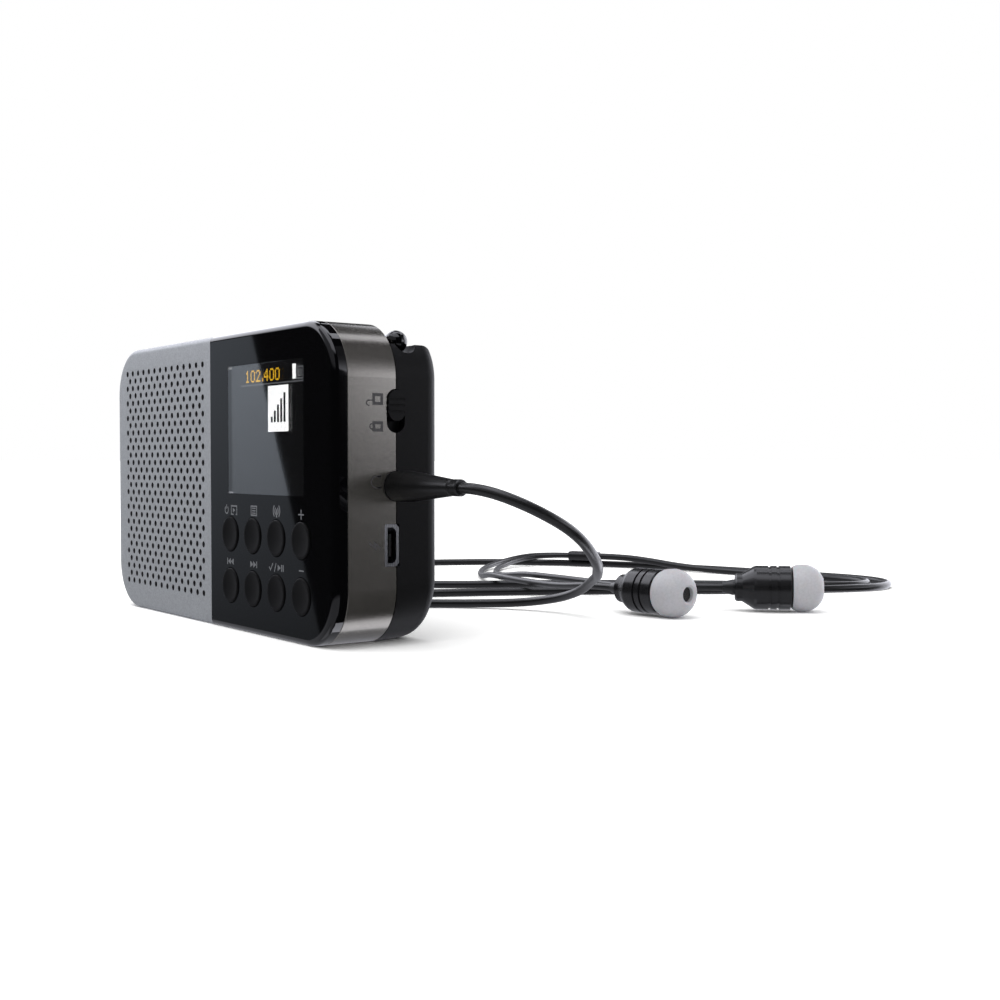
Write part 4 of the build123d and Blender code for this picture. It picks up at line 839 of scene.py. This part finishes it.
def in_front_of_tile(u, v, depth):
    return (u, PICTURE_Y - PICTURE_T - LEVEL_GAP - depth / 2, v)


level_bars = flat_shapes(shapes, in_front_of_tile, PICTURE_T)
piece("display_level_bars", level_bars, "radio", lit["lit_cells_charcoal"])

# Gold contacts on the tongue of the charging socket.
x, y, z = CONTACT_MIDDLE
places = [(x, y, z + CONTACT_PITCH * (i - CONTACT_COUNT // 2)) for i in range(CONTACT_COUNT)]
piece("socket_contacts", cells(places, CONTACT_SIZE, gold_flash), "radio")

# Cords: one smooth spline through each route of the part.


def along(place, turn, forward, aside=0):
    """Place so far forward and aside of another, as seen along a turn in degrees."""
    c = cos(radians(turn))
    s = sin(radians(turn))
    return (place[0] + forward * c - aside * s, place[1] + forward * s + aside * c, place[2])


def spline_cord(name, route, diameter, node_name):
    """Round cord along a route, which stands for one CAD node."""
    curve = bpy.data.curves.new(name, "CURVE")
    curve.dimensions = "3D"
    spline = curve.splines.new("NURBS")
    spline.points.add(len(route) - 1)
    for point, place in zip(spline.points, route):
        point.co = (*(Vector(place) * MM), 1)
    spline.order_u = 3
    spline.use_endpoint_u = True
    spline.resolution_u = 8
    curve.bevel_depth = diameter / 2 * MM
    curve.bevel_resolution = 5
    curve.use_fill_caps = True
    curve.materials.append(soft_pvc)
    made = piece(name, curve, "earphones", replaced=[node_name])


# Dark mesh in the sound hole of each ear tip.
meshes = []
for place, turn in ((LEFT_BUD, LEFT_BUD_TURN), (RIGHT_BUD, RIGHT_BUD_TURN)):
    rings = []
    for forward in (MESH_PLACE, MESH_PLACE + MESH_T):
        middle = Vector(along(place, turn, forward))
        aside = Vector(along((0, 0, 0), turn, 0, MESH_R))
        angles = [2 * pi * i / ROUND_SIDES for i in range(ROUND_SIDES)]
        rings.append([middle + aside * cos(t) + Vector((0, 0, MESH_R * sin(t))) for t in angles])
    meshes.append(rings)
piece("sound_meshes", solid(meshes), "earphones", dust_cloth)

SPLITTER_END = along(SPLITTER_START, SPLITTER_TURN, SPLITTER_L)
# Out of the plug, round to the table, and back behind the case.
main_route = [PLUG_END, (83.8, 2.1, 31.6), (90.5, 8.0, 28.4), (92.5, 17.2, 23.4), (87.7, 26.2, 17.3)]
main_route += [(77.9, 34.4, 14.2), (64.7, 45.8, 12.4), (51.0, 56.9, 10.4), (36.4, 63.9, 5.1), (20.0, 62.9, 1.8)]
main_route += [(6.7, 53.4, FLOOR), (-4.2, 40.0, FLOOR), (-14.2, 28.5, FLOOR), (-27.2, 23.5, FLOOR)]
main_route += [(-37.2, 28.5, FLOOR), (-39.2, 39.5, FLOOR), (-32.7, 49.5, FLOOR), (-21.8, 57.6, FLOOR)]
# First loop, near side out and far side back.
main_route += [(-15.2, 72.9, FLOOR), (-6.9, 88.7, FLOOR), (3.8, 106.4, FLOOR), (16.8, 124.2, FLOOR)]
main_route += [(27.9, 141.8, FLOOR), (36.7, 158.4, FLOOR), (40.4, 172.8, FLOOR), (33.3, 184.8, FLOOR)]
main_route += [(19.6, 189.5, FLOOR), (-1.3, 185.8, FLOOR), (-27.8, 180.1, FLOOR), (-55.1, 172.4, FLOOR)]
main_route += [(-79.1, 159.4, FLOOR), (-99.0, 141.8, FLOOR), (-109.9, 121.7, FLOOR), (-118.5, 96.5, FLOOR)]
main_route += [(-120.4, 70.5, FLOOR), (-109.5, 50.0, FLOOR), (-89.0, 42.3, FLOOR), (-64.7, 51.6, FLOOR)]
# Second loop inside the first, and up onto it at the splitter.
main_route += [(-37.6, 77.8, FLOOR), (-26.6, 98.9, FLOOR), (-13.8, 118.2, FLOOR), (0.9, 135.9, FLOOR)]
main_route += [(16.5, 150.6, FLOOR), (27.9, 163.9, FLOOR), (32.6, 173.4, FLOOR), (28.0, 182.0, FLOOR)]
main_route += [(18.0, 184.0, FLOOR), (0.0, 179.7, FLOOR), (-24.0, 176.1, FLOOR), (-40.2, 172.8, 1.5)]
main_route += [(-52.2, 169.6, 2.9), along(SPLITTER_START, SPLITTER_TURN, -9.0), SPLITTER_START]
# From the splitter, across the far strand, round on the table, and over the near strands to each bud.
left_route = [along(SPLITTER_END, SPLITTER_TURN, 0, -SPLITTER_PITCH / 2)]
left_route += [along(left_route[0], SPLITTER_TURN, 7.0), (-91.2, 147.0, 3.4), (-89.7, 134.0, 1.6)]
left_route += [(-80.2, 121.0, 0.95), (-66.2, 109.5, 0.85), (-50.7, 99.5, 1.5), (-36.2, 91.5, 3.5)]
left_route += [(-20.2, 86.0, 3.8), (-3.9, 83.1, 3.8), (10.9, 80.2, 4.3)]
left_route += [along(LEFT_BUD, LEFT_BUD_TURN, -RELIEF_L - 9.0), along(LEFT_BUD, LEFT_BUD_TURN, -RELIEF_L)]
right_route = [along(SPLITTER_END, SPLITTER_TURN, 0, SPLITTER_PITCH / 2)]
right_route += [along(right_route[0], SPLITTER_TURN, 6.0), (-87.7, 144.6, 3.0), (-84.7, 133.2, 1.4)]
right_route += [(-75.2, 122.5, 0.9), (-61.7, 112.5, 0.85), (-46.7, 104.5, 1.7), (-31.2, 99.8, 3.6)]
right_route += [(-14.7, 98.2, 3.8), (1.8, 97.6, 3.8), (17.8, 94.6, 3.9), (31.7, 92.4, 4.8)]
right_route += [along(RIGHT_BUD, RIGHT_BUD_TURN, -RELIEF_L - 8.0), along(RIGHT_BUD, RIGHT_BUD_TURN, -RELIEF_L)]
spline_cord(
    "main_cord_line", main_route, CORD_D, "main_cord",
)
spline_cord(
    "left_cord_line", left_route, BUD_CORD_D, "left_cord",
)
spline_cord(
    "right_cord_line", right_route, BUD_CORD_D, "right_cord",
)

# Studio: a white floor, an even white surround, one broad soft lamp, and panels that only reflections see.

world = bpy.data.worlds.new("white_surround")
bpy.context.scene.world = world
world.use_nodes = True
tree = world.node_tree
ray = node(tree, "ShaderNodeLightPath").outputs
seen = node(tree, "ShaderNodeMath", {0: ray["Is Camera Ray"], 1: ray["Is Glossy Ray"]}, operation="ADD")
seen = node(tree, "ShaderNodeMath", {0: seen.outputs[0], 1: ray["Is Transmission Ray"]}, operation="ADD")
AMBIENT = 0.78
strength = node(tree, "ShaderNodeMapRange", {"Value": seen.outputs[0], "To Min": AMBIENT, "To Max": 1.0})
tree.links.new(strength.outputs[0], tree.nodes["Background"].inputs["Strength"])
tree.nodes["Background"].inputs["Color"].default_value = (1, 1, 1, 1)

LAMP_POWER = 1.4
LAMP_SPREAD = 60
LAMP_TILT = 22
LAMP_TURN = -18
lamp = bpy.data.lights.new("broad_lamp", "SUN")
lamp.energy = LAMP_POWER
lamp.angle = radians(LAMP_SPREAD)
sun = shown("broad_lamp", lamp)
sun.rotation_euler = (radians(LAMP_TILT), 0, radians(LAMP_TURN))
sun.visible_glossy = False

# Pale matte floor. Seen by the camera it is lifted to white, and its shadows are lifted in step.
FLOOR_LIFT = 0.33
FLOOR_HALF = 30.0
white_floor, tree, shader, _ = finish("white_floor", Base_Color=tone("#f6f6f6"), Roughness=1.0)
shader.inputs["Specular IOR Level"].default_value = 0.0
ray = node(tree, "ShaderNodeLightPath").outputs
lift = node(tree, "ShaderNodeMath", {0: ray["Is Camera Ray"], 1: FLOOR_LIFT}, operation="MULTIPLY")
lifted = node(tree, "ShaderNodeBsdfDiffuse", {"Color": lift.outputs[0]})
both = node(tree, "ShaderNodeAddShader", {0: shader.outputs[0], 1: lifted.outputs[0]})
tree.links.new(both.outputs[0], tree.nodes["Material Output"].inputs["Surface"])
mesh = bpy.data.meshes.new("floor")
corners = [(-FLOOR_HALF, -FLOOR_HALF, 0), (FLOOR_HALF, -FLOOR_HALF, 0), (FLOOR_HALF, FLOOR_HALF, 0)]
mesh.from_pydata(corners + [(-FLOOR_HALF, FLOOR_HALF, 0)], [], [(0, 1, 2, 3)])
mesh.materials.append(white_floor)
floor = shown("floor", mesh)
floor.visible_glossy = False

glow_panel = bpy.data.materials.new("glow_panel")
glow_panel.use_nodes = True
tree = glow_panel.node_tree
tree.nodes.remove(tree.nodes["Principled BSDF"])
glow = node(tree, "ShaderNodeAttribute", attribute_name="glow").outputs["Color"]
lightbox = node(tree, "ShaderNodeEmission", {"Color": glow})
tree.links.new(lightbox.outputs[0], tree.nodes["Material Output"].inputs["Surface"])


def reflected_panel(name, points, faces, glows):
    """Glowing sheet that only reflections see. Each point has its own colour of light."""
    mesh = bpy.data.meshes.new(name)
    mesh.from_pydata([Vector(point) * MM for point in points], [], faces)
    colours = mesh.attributes.new("glow", "FLOAT_COLOR", "POINT")
    for value, colour in zip(colours.data, glows):
        value.color = (*colour, 1)
    mesh.materials.append(glow_panel)
    made = shown(name, mesh)
    made.visible_camera = made.visible_diffuse = made.visible_shadow = made.visible_volume_scatter = False


# Dark studio with soft panels in it, all on domes about the radio. Turns go round from +X towards +Y.
DOME_MIDDLE = Vector((0.0, 30.0, 32.0))
DOME_R = 600.0
DOME_STEP = 6.0
PALE_DOME_R = 610.0
DARK_DOME_R = 620.0
PANEL_TINT = (1.0, 1.01, 1.1)
DARK_GLOW = 0.015
CANOPY_Z = 250.0
CANOPY_GLOW = (1.5, 1.52, 1.65)


def dome_panel(name, radius, turns, stops):
    """Patch of a dome between two turns in degrees. Each stop is a rise in degrees and the light at that rise."""
    columns = max(1, round((turns[1] - turns[0]) / DOME_STEP))
    points, glows = [], []
    for rise, glow in stops:
        for j in range(columns + 1):
            turn = radians(turns[0] + (turns[1] - turns[0]) * j / columns)
            way = Vector((cos(radians(rise)) * cos(turn), cos(radians(rise)) * sin(turn), sin(radians(rise))))
            points.append(DOME_MIDDLE + radius * way)
            glows.append([glow * part for part in PANEL_TINT])
    width = columns + 1
    faces = [
        (i * width + j, i * width + j + 1, (i + 1) * width + j + 1, (i + 1) * width + j)
        for i in range(len(stops) - 1)
        for j in range(columns)
    ]
    reflected_panel(name, points, faces, glows)


dome_panel("dark_studio", DARK_DOME_R, (0, 360), [(rise, DARK_GLOW) for rise in range(-90, 91, 10)])
# Pale surround outside what the front mirrors: the table, the back and the upper front.
dome_panel(
    "pale_table",
    PALE_DOME_R,
    (62, 378),
    [(-90, 0.45), (-70, 0.45), (-50, 0.45), (-35, 0.45), (-16, 0.45), (-12, 0.1)],
)
dome_panel("pale_back", PALE_DOME_R, (116, 150), [(-16, 0.4), (0, 0.5), (14, 0.4), (18, 0.1)])
dome_panel("pale_left", PALE_DOME_R, (150, 197), [(-16, 0.4), (-6, 0.5), (10, 0.5)])
dome_panel("pale_front", PALE_DOME_R, (232, 330), [(14, 0.05), (20, 0.35), (45, 0.4), (60, 0.4)])
# Light behind the right side, dim towards the table, which grades the band's flat side and its upper corner.
dome_panel(
    "side_light",
    DOME_R,
    (24.6, 54),
    [(-16, 0.04), (-8, 0.06), (-4, 0.1), (-2, 0.22), (0, 0.5), (2, 0.95), (4, 1.8), (6, 3.2), (10, 3.2), (14, 2.3),
     (18, 1.5), (25, 0.7), (32, 0.25), (40, 0.14), (54, 0.14)],
)
# Light behind the radio, which the matte back mirrors softly.
dome_panel("back_light", DOME_R, (64, 116), [(-42, 0.1), (-32, 2.0), (-10, 2.6), (10, 2.8), (28, 2.8), (42, 0.1)])
# Overhead light, with one tongue that draws the stripe on the band's upper corner.
dome_panel("overhead_light", DOME_R, (72, 300), [(66, 0.2), (69, 2.2), (74, 2.6), (82, 2.6), (90, 2.6)])
dome_panel("overhead_tongue", DOME_R, (70, 100), [(48, 0.2), (53, 2.2), (58, 2.6), (66, 2.6)])
dome_panel("overhead_left", DOME_R, (215, 300), [(48, 0.2), (54, 2.0), (66, 2.3)])
dome_panel("overhead_front", DOME_R, (300, 372), [(42, 0.1), (48, 1.7), (60, 2.0), (70, 2.0), (80, 2.0), (90, 2.0)])
# Canopy low over the earphones, whose tops mirror it.
canopy = [(-200.0, 150.0), (0.0, 150.0), (0.0, 280.0), (-200.0, 280.0)]
reflected_panel("rear_canopy", [(x, y, CANOPY_Z) for x, y in canopy], [(0, 1, 2, 3)], [CANOPY_GLOW] * 4)
# Table light from below, with its own tongue for the band's lower corner.
dome_panel("table_light", DOME_R, (220, 300), [(-90, 0.9), (-80, 0.9), (-70, 0.9), (-60, 0.8), (-52, 0.1)])
dome_panel("table_tongue", DOME_R, (48, 90), [(-72, 2.7), (-60, 2.7), (-50, 2.5), (-45, 0.2)])
# Panel on the left, which the upper edges of the front mirror as pale lines.
dome_panel("left_panel", DOME_R, (154, 206), [(8, 1.4), (14, 2.2), (24, 2.5), (36, 2.6), (50, 2.6), (56, 0.3)])
dome_panel("left_wing", DOME_R, (206, 232), [(14, 0.4), (18, 1.8), (24, 2.4), (36, 2.6), (50, 2.6), (56, 0.3)])

# Grey card whose slanting edge the fascia mirrors. It lies twice as far from the camera's mirror image as the fascia.
CARD_REACH = 2.0
CARD_TOP = 72.0
CARD_FOOT = -12.0
CARD_LEFT = -80.0
EDGE_HIGH = (21.0, 62.7)  # two places on the fascia where the mirrored edge runs
EDGE_LOW = (48.4, 5.6)
TOP_GLOW = (0.40, 0.44, 0.50)
FOOT_GLOW = (0.075, 0.078, 0.084)
mirrored = Vector((CAMERA_PLACE[0], 2 * Y_FRONT - CAMERA_PLACE[1], CAMERA_PLACE[2]))
slant = (EDGE_LOW[0] - EDGE_HIGH[0]) / (EDGE_LOW[1] - EDGE_HIGH[1])
edge_top = EDGE_HIGH[0] + slant * (CARD_TOP - EDGE_HIGH[1])
edge_foot = EDGE_LOW[0] + slant * (CARD_FOOT - EDGE_LOW[1])
outline = [(edge_top, CARD_TOP), (edge_foot, CARD_FOOT), (CARD_LEFT, CARD_FOOT), (CARD_LEFT, CARD_TOP)]
reflected_panel(
    "grey_card",
    [mirrored + CARD_REACH * (Vector((x, Y_FRONT, z)) - mirrored) for x, z in outline],
    [(0, 1, 2, 3)],
    [TOP_GLOW, FOOT_GLOW, FOOT_GLOW, TOP_GLOW],
)

camera = bpy.data.cameras.new("camera")
camera.lens = CAMERA_LENS
camera.clip_start = 0.01
camera_object = shown("camera", camera)
camera_object.location = Vector(CAMERA_PLACE) * MM
camera_object.rotation_euler = (radians(90 - CAMERA_DIP), 0, radians(CAMERA_YAW))
bpy.context.scene.camera = camera_object
bpy.context.scene.view_settings.view_transform = "Standard"
